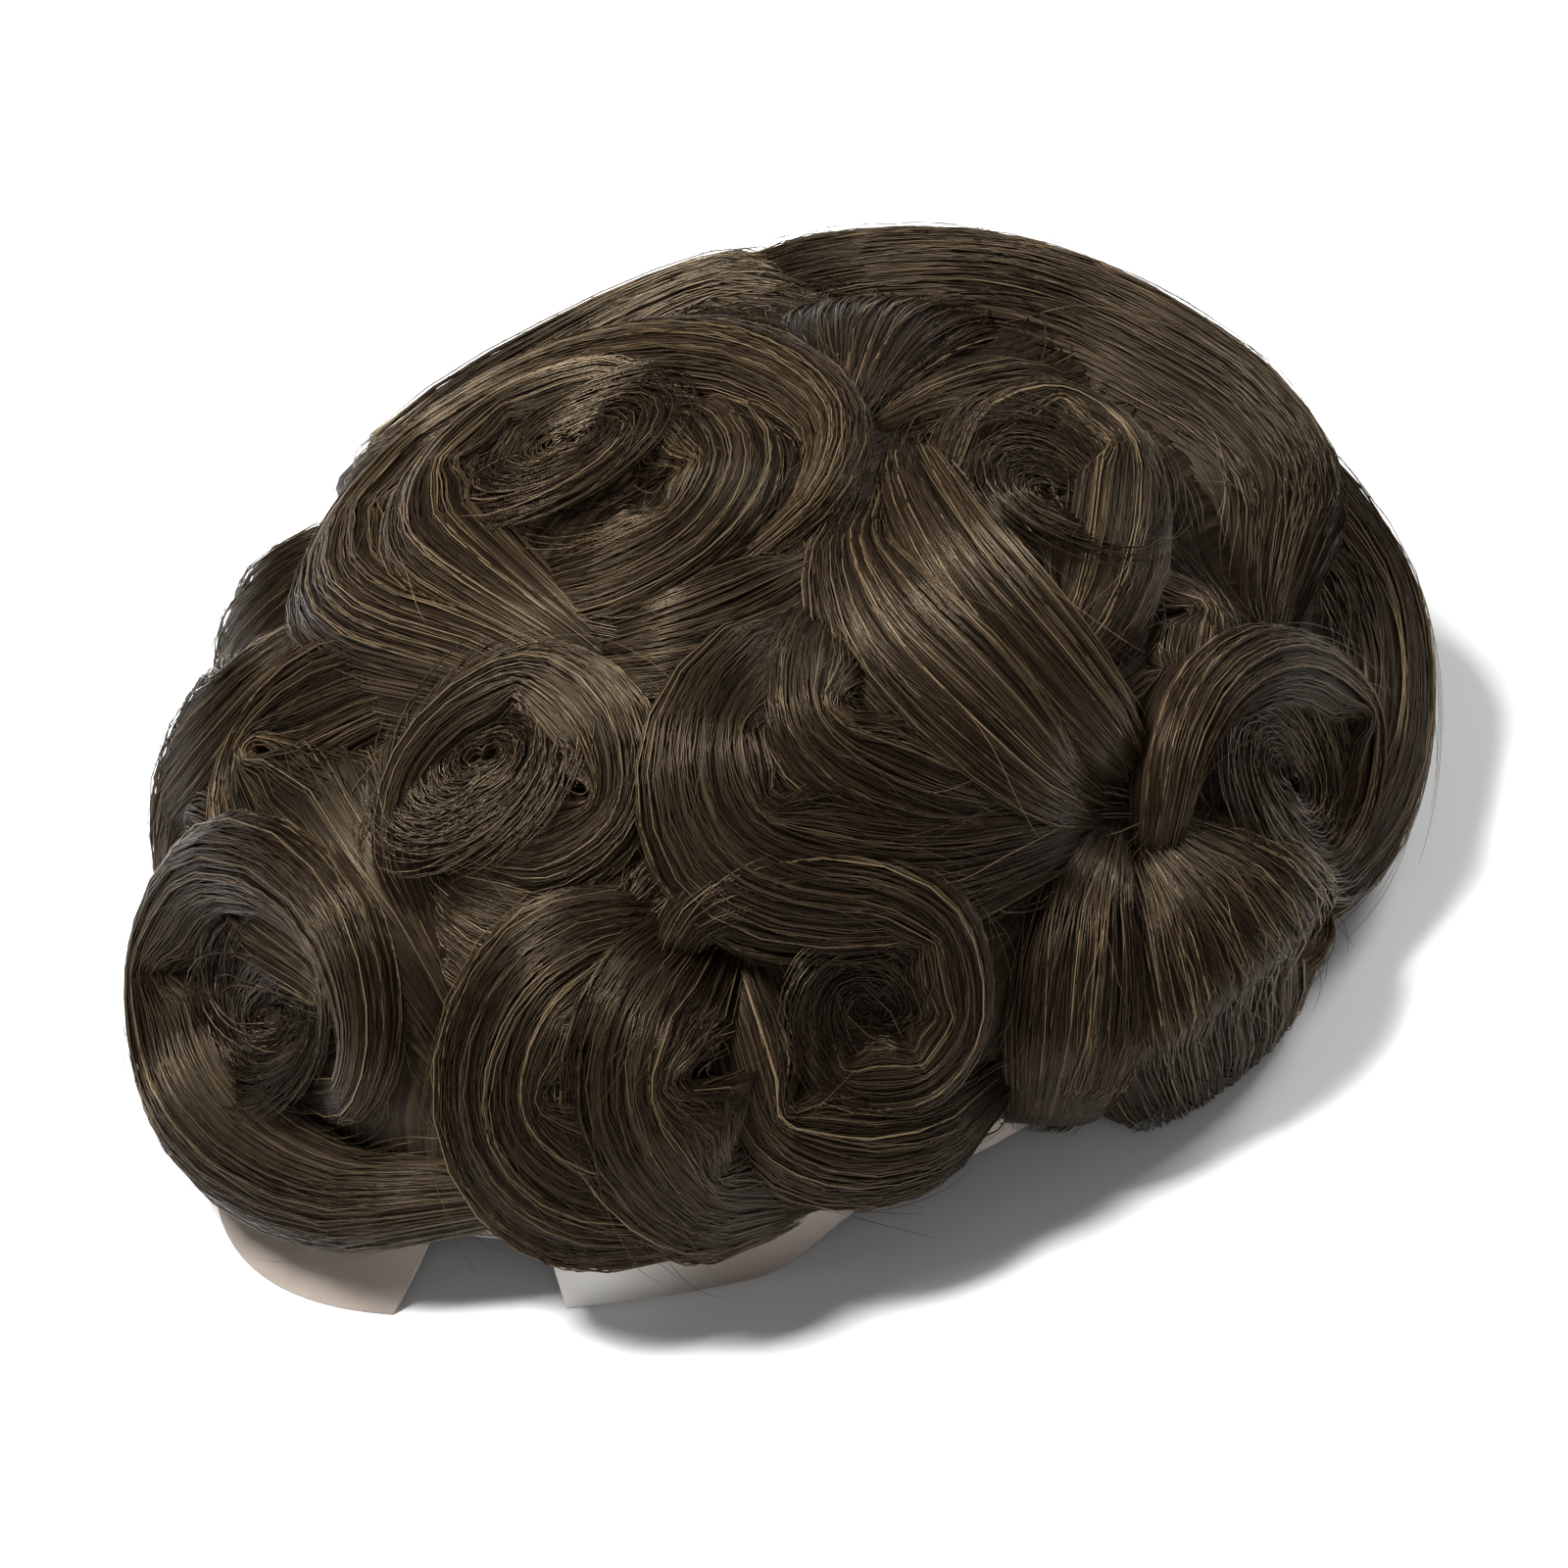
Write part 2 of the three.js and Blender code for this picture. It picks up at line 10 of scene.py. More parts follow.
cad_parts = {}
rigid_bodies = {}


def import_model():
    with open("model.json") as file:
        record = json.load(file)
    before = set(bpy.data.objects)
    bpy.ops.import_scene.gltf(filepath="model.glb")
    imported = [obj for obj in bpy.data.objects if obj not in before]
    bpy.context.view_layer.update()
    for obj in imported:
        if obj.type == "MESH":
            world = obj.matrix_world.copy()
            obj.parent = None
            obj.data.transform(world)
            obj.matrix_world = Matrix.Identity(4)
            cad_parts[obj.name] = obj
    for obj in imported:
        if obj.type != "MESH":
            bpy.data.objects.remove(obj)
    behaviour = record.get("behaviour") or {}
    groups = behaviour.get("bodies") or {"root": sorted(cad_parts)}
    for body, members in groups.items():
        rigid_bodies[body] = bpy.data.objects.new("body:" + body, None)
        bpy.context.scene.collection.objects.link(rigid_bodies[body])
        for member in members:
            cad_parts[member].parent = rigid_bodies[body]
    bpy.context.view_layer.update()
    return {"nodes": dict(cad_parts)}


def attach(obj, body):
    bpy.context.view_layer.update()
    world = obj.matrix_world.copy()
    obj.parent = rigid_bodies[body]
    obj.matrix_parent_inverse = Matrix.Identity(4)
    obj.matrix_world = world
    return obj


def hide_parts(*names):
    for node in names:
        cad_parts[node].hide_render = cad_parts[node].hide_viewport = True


for leftover in list(bpy.data.objects):
    bpy.data.objects.remove(leftover)
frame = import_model()
scene = bpy.context.scene

# The head's form, as in the CAD source: half width, half length and height of the cap.
cap = {"halfWidth": 0.074, "halfLength": 0.095, "height": 0.084, "thickness": 0.001}
bed = {"bottom": 0.0013, "top": 0.0073, "edge": 0.88}
hairDepth = 0.025
lockBottom = bed["top"] - 0.002
capTop = max((vertex.co for vertex in frame["nodes"]["skin_cap"].data.vertices), key=lambda co: co.z)
crown = np.array((capTop.x, capTop.y, 0.0))  # the crown's place in the CAD frame
print("frame loaded, crown at", crown)


# Camera: above the wearer's left brow, turned a little in its own plane as the photograph is.
view = {"azimuth": 46, "elevation": 38, "roll": 9, "distance": 0.9, "lens": 131.6,
        "target": (0, 0, 0.054), "sideways": 0.0046, "upwards": -0.0225}


def placeCamera():
    az, el, roll = (math.radians(view[name]) for name in ("azimuth", "elevation", "roll"))
    back = Vector((math.sin(az) * math.cos(el), -math.cos(az) * math.cos(el), math.sin(el)))
    right = Vector((math.cos(az), math.sin(az), 0))
    up = back.cross(right)
    imageRight = right * math.cos(roll) - up * math.sin(roll)
    imageUp = right * math.sin(roll) + up * math.cos(roll)
    camera = bpy.data.objects.new("camera", bpy.data.cameras.new("camera"))
    camera.data.lens = view["lens"]
    camera.data.sensor_width = 36
    camera.data.clip_start = 0.05
    spot = Vector(crown) + Vector(view["target"]) + back * view["distance"]
    spot += imageRight * view["sideways"] + imageUp * view["upwards"]
    camera.matrix_world = Matrix.Translation(spot) @ Matrix((imageRight, imageUp, back)).transposed().to_4x4()
    scene.collection.objects.link(camera)
    scene.camera = camera


placeCamera()


# Colours and nodes
def linear(hexColour, alpha=1.0):
    channels = [int(hexColour[i:i + 2], 16) / 255 for i in (1, 3, 5)]
    return tuple(c / 12.92 if c <= 0.04045 else ((c + 0.055) / 1.055) ** 2.4 for c in channels) + (alpha,)


def addNode(tree, kind, inputs=None, **settings):
    node = tree.nodes.new(kind)
    for name, value in settings.items():
        setattr(node, name, value)
    for name, value in (inputs or {}).items():
        if isinstance(value, bpy.types.NodeSocket):
            tree.links.new(value, node.inputs[name])
        else:
            node.inputs[name].default_value = value
    return node


def newMaterial(name):
    material = bpy.data.materials.new(name)
    material.use_nodes = True
    tree = material.node_tree
    return material, tree, tree.nodes["Principled BSDF"]


def colourRamp(tree, factor, stops):
    ramp = addNode(tree, "ShaderNodeValToRGB", {"Fac": factor})
    elements = ramp.color_ramp.elements
    while len(elements) < len(stops):
        elements.new(0.5)
    for element, (position, hexColour) in zip(elements, stops):
        element.position = position
        element.color = linear(hexColour)
    return ramp.outputs["Color"]


# Human hair: a dark ash brown cuticle with a soft, narrow sheen. Each strand has its own shade, to which some
# locks add painted light and painted shade.
def strandMaterial():
    material, tree, surface = newMaterial("human_hair_ash_brown")
    shade = addNode(tree, "ShaderNodeAttribute", attribute_name="shade").outputs["Fac"]
    colour = colourRamp(tree, shade, [
        (0.0, "#080503"), (0.4, "#1f160e"), (0.75, "#3d3123"), (1.0, "#705f47")])
    tree.links.new(colour, surface.inputs["Base Color"])
    surface.inputs["Roughness"].default_value = 0.3
    surface.inputs["IOR"].default_value = 1.55
    surface.inputs["Specular IOR Level"].default_value = 0.5
    surface.inputs["Specular Tint"].default_value = linear("#dcc3a2")
    return material


# The body of a lock under its loose strands: the same hair packed close, with grooves along the comb,
# coloured darker than the loose strands as painted shade in the gaps between them.
# Real hairs are 0.07 mm; the grooves are drawn at 0.5 mm, which is as fine as the render shows.
def shadedPackedHairMaterial(grooveWidth=0.0005, grooveLength=0.03):
    material, tree, surface = newMaterial("human_hair_packed_painted_shade")
    place = addNode(tree, "ShaderNodeUVMap", uv_map="combed").outputs["UV"]
    scaled = addNode(tree, "ShaderNodeMapping", {
        "Vector": place, "Scale": (1 / grooveWidth, 1 / grooveLength, 1)}).outputs["Vector"]
    fine = addNode(tree, "ShaderNodeTexNoise", {
        "Vector": scaled, "Scale": 0.5, "Detail": 3.0, "Roughness": 0.65})
    colour = colourRamp(tree, fine.outputs["Fac"], [
        (0.34, "#060402"), (0.5, "#171009"), (0.66, "#352a1e")])
    tree.links.new(colour, surface.inputs["Base Color"])
    grooves = addNode(tree, "ShaderNodeBump", {
        "Height": fine.outputs["Fac"], "Strength": 0.7, "Distance": 0.0006})
    tree.links.new(grooves.outputs["Normal"], surface.inputs["Normal"])
    surface.inputs["Roughness"].default_value = 0.5
    surface.inputs["IOR"].default_value = 1.55
    surface.inputs["Specular IOR Level"].default_value = 0.2
    surface.inputs["Specular Tint"].default_value = linear("#dcc3a2")
    return material


# Cast polyurethane film: cloudy, greyish and smooth, with a soft gloss and slight waviness, and a painted
# highlight near its cut corner.
def filmMaterial():
    material, tree, surface = newMaterial("cast_polyurethane_film")
    place = addNode(tree, "ShaderNodeTexCoord").outputs["Object"]
    cloud = addNode(tree, "ShaderNodeTexNoise", {
        "Vector": place, "Scale": 45.0, "Detail": 3.0, "Roughness": 0.5})
    colour = colourRamp(tree, cloud.outputs["Fac"], [(0.3, "#8f837a"), (0.7, "#a3978d")])
    # near the cut corner the colour is mixed towards near white: a painted highlight
    paintedHighlight = addNode(tree, "ShaderNodeAttribute", attribute_name="paintedHighlight").outputs["Fac"]
    mixed = addNode(tree, "ShaderNodeMix", data_type="RGBA")
    tree.links.new(paintedHighlight, mixed.inputs["Factor"])
    tree.links.new(colour, mixed.inputs[6])
    mixed.inputs[7].default_value = linear("#e4e1dd")
    tree.links.new(mixed.outputs[2], surface.inputs["Base Color"])
    wave = addNode(tree, "ShaderNodeBump", {
        "Height": cloud.outputs["Fac"], "Strength": 0.15, "Distance": 0.001})
    tree.links.new(wave.outputs["Normal"], surface.inputs["Normal"])
    surface.inputs["Roughness"].default_value = 0.3
    surface.inputs["IOR"].default_value = 1.5
    surface.inputs["Alpha"].default_value = 0.85
    return material


hairStrands = strandMaterial()
shadedPackedHair = shadedPackedHairMaterial()
skinFilm = filmMaterial()
print("materials made")


# Places on the head. The chart's across and along are shares of the way from the crown to the rim.
def onHead(across, along, lift):
    down = np.hypot(across, along)
    angle = down * math.pi / 2
    stretch = np.where(down > 1e-6, np.sin(angle) / np.maximum(down, 1e-6), math.pi / 2)
    return np.stack([(cap["halfWidth"] + lift) * stretch * across,
                     (cap["halfLength"] + lift) * stretch * along,
                     (cap["height"] + lift) * np.cos(angle)], axis=-1) + crown


def smooth(t):
    t = np.clip(t, 0, 1)
    return t * t * (3 - 2 * t)


def columnsAt(rows, place):
    # a smooth curve through the table's rows, all columns at once
    rows = np.asarray(rows, float)
    last = len(rows) - 1
    start = np.clip(np.floor(place).astype(int), 0, last - 1)
    t = (place - start)[..., None]
    a, b, c, d = (rows[np.clip(start + k, 0, last)] for k in (-1, 0, 1, 2))
    return b + 0.5 * t * (c - a + t * (2 * a - 5 * b + 4 * c - d + t * (3 * (b - c) + d - a)))


# Styled locks. Columns: across, along, half width (shares of the chart) and height (share of hairDepth).
# tipRows is how far, in rows, the combed-out ends run on; endHeight is what is left of the height there.
# At either end wholeShare of the strands run the full way; the others stop short by up to shortened of it.
strandStyle = {
    "width": 0.00025, "spacing": 0.00032, "layers": 1.45, "drift": 0.22,
    "pointGap": 0.009, "pointTurn": 0.30, "fewestPoints": 8, "mostPoints": 24,
    "tipRows": 0.8, "tipReach": 0.11, "endHeight": 0.72, "tipNarrow": 0.45, "crowding": 0.85,
    "wholeShare": 0.65, "shortened": 0.35, "hiddenShare": 0.42,
    "looseShare": 0.12, "looseLift": 0.0015, "looseWidth": 0.42, "looseAside": 0.11,
    "shade": 0.4, "bunchShade": 0.21, "ownShade": 0.24, "paintedRopeBands": 0.2,
    "bodyDepth": 0.93, "bodySections": 6, "bodyArch": 20}
floorGap = 0.0004  # no hair comes nearer to the floor


def crossSections(lock, place):
    # a lock's frame at each place, counted in rows; past either end it curls on, thins and sinks
    rows = np.asarray(lock["rows"], float)
    last = len(rows) - 1
    held = np.clip(place, 0, last)
    here = columnsAt(rows, held)
    behind = columnsAt(rows, np.clip(held - 0.3, 0, last))[..., :2]
    ahead = columnsAt(rows, np.clip(held + 0.3, 0, last))[..., :2]
    path = ahead - behind
    length = np.maximum(1e-9, np.hypot(path[..., 0], path[..., 1]))
    first = here[..., :2] - behind
    second = ahead - here[..., :2]
    bend = 8 * (first[..., 0] * second[..., 1] - first[..., 1] * second[..., 0]) / length ** 3
    path = path / length[..., None]
    past = np.clip(np.abs(place - held) / strandStyle["tipRows"], 0, 1)
    # curl on past the end with the bend that the end has
    endSteps = np.hypot(*np.diff(rows[[0, 1, -2, -1], :2], axis=0)[[0, 2]].T)
    step = np.where(place < 0, endSteps[0], endSteps[1]) * strandStyle["tipRows"]
    step = np.minimum(step, strandStyle["tipReach"])
    blunt = np.where(held < last / 2, "start" in lock["blunt"], "end" in lock["blunt"])
    step = np.where(blunt, here[..., 2] * 0.6, step)
    run = np.sign(place - held) * past * step
    nearEnd = columnsAt(rows, np.clip(held - np.sign(place - held) * 0.5, 0, last))[..., :2]
    came = (here[..., :2] - nearEnd) * np.where(place < held, -1, 1)[..., None]
    swing = np.arctan2(came[..., 0] * path[..., 1] - came[..., 1] * path[..., 0],
                       (came * path).sum(axis=-1) + 1e-12) * np.sign(past)
    cosine, sine = np.cos(swing * past), np.sin(swing * past)
    path = np.stack([path[..., 0] * cosine - path[..., 1] * sine,
                     path[..., 0] * sine + path[..., 1] * cosine], axis=-1)
    centre = here[..., :2] + path * run[..., None]
    narrowed = np.where(blunt, 1 - np.sqrt(1 - 0.75 * past ** 2), strandStyle["tipNarrow"] * smooth(past))
    wide = np.maximum(0.012, here[..., 2]) * (1 - narrowed)
    inside = np.minimum(wide, 0.5 / np.maximum(1e-6, np.abs(bend)))
    endHeight = np.where(blunt, 1.0, strandStyle["endHeight"])
    high = np.maximum(0.05, here[..., 3]) * hairDepth
    high = high * (endHeight + (1 - endHeight) * smooth(np.minimum(held, last - held) / 0.8))
    high = high * np.maximum(0.0, 1 - past ** np.where(blunt, 3, 2)) ** 0.8
    return {"centre": centre, "path": path, "high": high, "lean": lock["lean"],
            "left": np.where(bend > 0, inside, wide), "right": np.where(bend > 0, wide, inside),
            "bend": np.sign(bend), "pinch": 1 - inside / wide}


def onLock(section, turn, depth=1.0, aside=0.0, extra=0.0):
    # turn runs from 0 on the lock's left edge, over its top, to pi on its right edge
    rise = np.maximum(0.0, np.sin(turn))
    share = np.cos(turn) + section["lean"] * rise
    side = share * np.where(share > 0, section["left"], section["right"]) * (0.35 + 0.65 * depth) + aside
    # inside a tight bend the strands crowd together and stand up instead of sinking to the scalp
    crowded = section["pinch"] * strandStyle["crowding"] * (share * section["bend"] > 0)
    rise = rise + (1 - rise) * crowded * smooth(rise * 5)
    lift = lockBottom + section["high"] * rise ** 0.8 * depth + extra
    across = section["centre"][..., 0] - section["path"][..., 1] * side
    along = section["centre"][..., 1] + section["path"][..., 0] * side
    return onHead(across, along, lift)


locks = [
    dict(name="back_rope", lean=0.15, rows=[
        (-0.30,  0.34,  0.03,  0.50),
        (-0.20,  0.40,  0.05,  0.74),
        (-0.07,  0.45, 0.065,  0.82),
        ( 0.06,  0.47,  0.08,  0.84),
        ( 0.18,  0.47,  0.09,  0.88),
        ( 0.30,  0.48,  0.10,  0.94),
        ( 0.42,  0.46,  0.10,  0.90),
        ( 0.53,  0.39,  0.06,  0.55),
    ]),
    dict(name="side_roll_upper", lean=0, rows=[
        ( 0.15,  0.14,  0.03,  0.15),
        ( 0.23,  0.07, 0.055,  0.40),
        ( 0.34,  0.02,  0.07,  0.60),
        ( 0.45,  0.01,  0.07,  0.66),
        ( 0.56,  0.03,  0.06,  0.52),
        ( 0.64,  0.07,  0.03,  0.22),
    ]),
    dict(name="brow_curl", lean=0.1, rows=[
        ( 0.37, -0.49,  0.03,  0.48),
        ( 0.37, -0.42, 0.045,  0.64),
        ( 0.42, -0.35, 0.055,  0.72),
        ( 0.50, -0.29, 0.055,  0.75),
        ( 0.58, -0.27, 0.055,  0.75),
        ( 0.65, -0.31, 0.055,  0.70),
        ( 0.66, -0.38, 0.055,  0.60),
        ( 0.60, -0.44,  0.05,  0.50),
        ( 0.53, -0.43, 0.045,  0.38),
    ]),
    dict(name="ear_curl", lean=0.1, rows=[
        ( 0.71,  0.03,  0.04,  0.45),
        ( 0.64,  0.07, 0.045,  0.62),
        ( 0.60,  0.16, 0.055,  0.72),
        ( 0.61,  0.28,  0.06,  0.74),
        ( 0.68,  0.37,  0.06,  0.74),
        ( 0.77,  0.33, 0.055,  0.66),
        ( 0.81,  0.25, 0.055,  0.56),
        ( 0.76,  0.16,  0.05,  0.44),
    ]),
    dict(name="side_roll_lower", lean=-0.1, rows=[
        ( 0.28, -0.12,  0.03,  0.20),
        ( 0.27, -0.21,  0.07,  0.55),
        ( 0.28, -0.30,  0.09,  0.74),
        ( 0.36, -0.34,  0.10,  0.78),
        ( 0.45, -0.30,  0.09,  0.74),
        ( 0.54, -0.22,  0.08,  0.64),
        ( 0.60, -0.11,  0.06,  0.46),
        ( 0.65, -0.02,  0.03,  0.18),
    ]),
    dict(name="side_roll_middle", lean=0, rows=[
        ( 0.20,  0.03,  0.03,  0.15),
        ( 0.25, -0.05,  0.07,  0.42),
        ( 0.35, -0.10,  0.11,  0.64),
        ( 0.47, -0.10,  0.11,  0.68),
        ( 0.57, -0.07,  0.08,  0.52),
        ( 0.64,  0.00,  0.03,  0.18),
    ]),
    dict(name="front_roll", lean=0, rows=[
        ( 0.36, -0.44,  0.03,  0.25),
        ( 0.30, -0.50,  0.07,  0.55),
        ( 0.25, -0.58,  0.11,  0.72),
        ( 0.24, -0.67,  0.14,  0.80),
        ( 0.35, -0.69,  0.12,  0.72),
        ( 0.48, -0.65,  0.08,  0.56),
        ( 0.62, -0.58,  0.05,  0.35),
    ]),
    dict(name="side_curl", lean=0, rows=[
        ( 0.26,  0.08, 0.035,  0.28),
        ( 0.21,  0.17,  0.05,  0.42),
        ( 0.23,  0.26,  0.06,  0.50),
        ( 0.32,  0.27,  0.07,  0.54),
        ( 0.40,  0.20,  0.08,  0.52),
        ( 0.46,  0.12,  0.07,  0.42),
        ( 0.49,  0.05,  0.04,  0.20),
    ]),
    dict(name="crown_curl", lean=0, rows=[
        (-0.16, -0.03,  0.06,  0.28),
        (-0.04, -0.02,  0.08,  0.36),
        ( 0.05, -0.06,  0.09,  0.38),
        ( 0.07, -0.13,  0.09,  0.36),
        ( 0.02, -0.20,  0.08,  0.30),
    ]),
    dict(name="crown_wave", lean=0, rows=[
        ( 0.15, -0.12, 0.025,  0.22),
        ( 0.17, -0.03, 0.035,  0.36),
        ( 0.11,  0.06, 0.045,  0.44),
        (-0.02,  0.08,  0.06,  0.50),
        (-0.15,  0.05,  0.07,  0.54),
        (-0.30,  0.00,  0.10,  0.60),
        (-0.33, -0.13,  0.17,  0.60),
        (-0.21, -0.25,  0.17,  0.56),
        (-0.05, -0.31,  0.11,  0.48),
        ( 0.10, -0.31,  0.07,  0.36),
        ( 0.23, -0.31,  0.03,  0.16),
    ]),
    dict(name="temple_curl", lean=0, rows=[
        ( 0.06, -0.58,  0.03,  0.38),
        ( 0.00, -0.52,  0.04,  0.50),
        (-0.02, -0.45, 0.045,  0.56),
        ( 0.01, -0.38,  0.05,  0.60),
        ( 0.07, -0.33, 0.055,  0.58),
        ( 0.16, -0.34, 0.065,  0.55),
        ( 0.21, -0.39,  0.07,  0.48),
        ( 0.17, -0.45,  0.07,  0.40),
        ( 0.08, -0.48,  0.05,  0.28),
    ]),
    dict(name="forelock_curl", lean=0.1, rows=[
        ( 0.22, -0.82,  0.05,  0.35),
        ( 0.03, -0.88,  0.06,  0.56),
        (-0.18, -0.87,  0.07,  0.70),
        (-0.34, -0.80,  0.08,  0.78),
        (-0.39, -0.68, 0.075,  0.82),
        (-0.30, -0.59, 0.065,  0.80),
        (-0.15, -0.575,  0.06,  0.74),
        (-0.02, -0.61, 0.055,  0.68),
        ( 0.04, -0.68, 0.055,  0.58),
        ( 0.02, -0.75,  0.05,  0.45),
        (-0.08, -0.785,  0.04,  0.28),
    ]),
    dict(name="crown_sweep", lean=0, rows=[
        ( 0.19,  0.00,  0.03,  0.16),
        ( 0.23, -0.08,  0.07,  0.30),
        ( 0.21, -0.17,  0.09,  0.38),
        ( 0.15, -0.24,  0.08,  0.36),
        ( 0.06, -0.28,  0.05,  0.20),
    ]),
    dict(name="brow_band", lean=0, rows=[
        ( 0.41, -0.45,  0.04,  0.45),
        ( 0.46, -0.49,  0.07,  0.60),
        ( 0.55, -0.52,  0.08,  0.66),
        ( 0.65, -0.49,  0.08,  0.64),
        ( 0.73, -0.41,  0.07,  0.54),
        ( 0.77, -0.32,  0.04,  0.32),
    ]),
    dict(name="ear_wave", lean=0, rows=[
        ( 0.70,  0.02,  0.05,  0.30),
        ( 0.74, -0.03,  0.14,  0.58),
        ( 0.78, -0.06,  0.21,  0.74),
        ( 0.82, -0.07,  0.23,  0.74),
        ( 0.85, -0.08,  0.20,  0.50),
    ]),
    dict(name="neck_lock", lean=0, rows=[
        ( 0.78,  0.22,  0.06,  0.45),
        ( 0.82,  0.18,  0.12,  0.72),
        ( 0.86,  0.15,  0.13,  0.80),
        (0.885,  0.13,  0.11,  0.55),
    ]),
    dict(name="temple_wave", lean=0, rows=[
        ( 0.12, -0.31,  0.02,  0.15),
        ( 0.03, -0.32,  0.03,  0.28),
        (-0.10, -0.35,  0.07,  0.42),
        (-0.23, -0.40,  0.13,  0.56),
        (-0.29, -0.47,  0.16,  0.62),
        (-0.22, -0.54,  0.16,  0.58),
        (-0.06, -0.60,  0.14,  0.50),
        ( 0.06, -0.65,  0.12,  0.40),
        ( 0.16, -0.71,  0.08,  0.24),
    ]),
    dict(name="ear_lock", lean=0, rows=[
        ( 0.45,  0.22,  0.04,  0.30),
        ( 0.52,  0.23,  0.06,  0.44),
        ( 0.58,  0.16,  0.06,  0.42),
        ( 0.58,  0.08,  0.04,  0.20),
    ]),
    dict(name="crown_tuft", lean=0, rows=[
        ( 0.09,  0.09,  0.03,  0.20),
        ( 0.04,  0.16,  0.08,  0.30),
        (-0.03,  0.25,  0.14,  0.34),
        (-0.08,  0.33,  0.17,  0.34),
        (-0.11,  0.40,  0.17,  0.30),
    ]),
    dict(name="parting_tuft", lean=0, rows=[
        ( 0.12,  0.11,  0.03,  0.20),
        ( 0.15,  0.19,  0.07,  0.30),
        ( 0.17,  0.28,  0.10,  0.34),
        ( 0.19,  0.36,  0.12,  0.34),
    ]),
    dict(name="far_rope", lean=0, rows=[
        (-0.24,  0.37,  0.05,  0.60),
        (-0.36,  0.34,  0.08,  0.78),
        (-0.46,  0.28,  0.09,  0.82),
        (-0.54,  0.20,  0.09,  0.84),
        (-0.61,  0.09,  0.09,  0.90),
        (-0.66, -0.03,  0.08,  0.92),
    ]),
    dict(name="nape_rope", lean=0, rows=[
        ( 0.16,  0.60,  0.05,  0.50),
        ( 0.28,  0.63,  0.08,  0.72),
        ( 0.41,  0.64,  0.09,  0.82),
        ( 0.53,  0.63,  0.09,  0.86),
        ( 0.65,  0.57,  0.09,  0.80),
        ( 0.75,  0.46,  0.09,  0.74),
        ( 0.81,  0.34,  0.09,  0.66),
        ( 0.84,  0.21,  0.07,  0.50),
        ( 0.85,  0.12,  0.04,  0.30),
    ]),
    dict(name="far_fringe", lean=0, rows=[
        (-0.60, -0.08,  0.06,  0.65),
        (-0.66, -0.20,  0.09,  0.74),
        (-0.70, -0.32,  0.09,  0.68),
        (-0.72, -0.44,  0.05,  0.40),
    ]),
    dict(name="temple_fan", lean=0, rows=[
        ( 0.04, -0.54,  0.04,  0.24),
        ( 0.12, -0.55,  0.09,  0.30),
        ( 0.22, -0.53,  0.11,  0.32),
        ( 0.30, -0.47,  0.10,  0.32),
        ( 0.32, -0.38,  0.06,  0.26),
    ]),
    dict(name="forelock_tuft", lean=0, rows=[
        (-0.28, -0.55,  0.04,  0.45),
        (-0.40, -0.52,  0.06,  0.60),
        (-0.48, -0.56,  0.04,  0.40),
    ]),
]

# Only in this scene: strips that fill the side roll, the front roll and the gap before the ear wave,
# the inner part of the crown wave, and rows that let nine locks run as combed.
locks += [
    dict(name="side_roll_inner", lean=0, rows=[
        (0.27, -0.10, 0.05, 0.34), (0.30, -0.17, 0.09, 0.62), (0.35, -0.22, 0.10, 0.74),
        (0.42, -0.22, 0.10, 0.72), (0.51, -0.17, 0.08, 0.58), (0.60, -0.07, 0.04, 0.28)]),
    dict(name="front_fall", lean=0, rows=[
        (0.39, -0.43, 0.08, 0.42), (0.39, -0.50, 0.14, 0.72), (0.415, -0.56, 0.165, 0.86),
        (0.47, -0.595, 0.15, 0.86), (0.54, -0.61, 0.12, 0.70), (0.62, -0.59, 0.07, 0.42)]),
    dict(name="crown_wave_inner", lean=0, rows=[
        (-0.10, 0.04, 0.03, 0.40), (-0.20, 0.01, 0.05, 0.50), (-0.27, -0.06, 0.075, 0.57),
        (-0.275, -0.155, 0.085, 0.58), (-0.21, -0.23, 0.085, 0.55), (-0.10, -0.265, 0.075, 0.48),
        (0.03, -0.28, 0.05, 0.36), (0.13, -0.28, 0.03, 0.20)]),
    dict(name="ear_wave_side", lean=0, rows=[
        (0.67, -0.02, 0.04, 0.34), (0.69, -0.09, 0.07, 0.52), (0.74, -0.15, 0.10, 0.64),
        (0.80, -0.20, 0.11, 0.62), (0.845, -0.24, 0.09, 0.42)])]
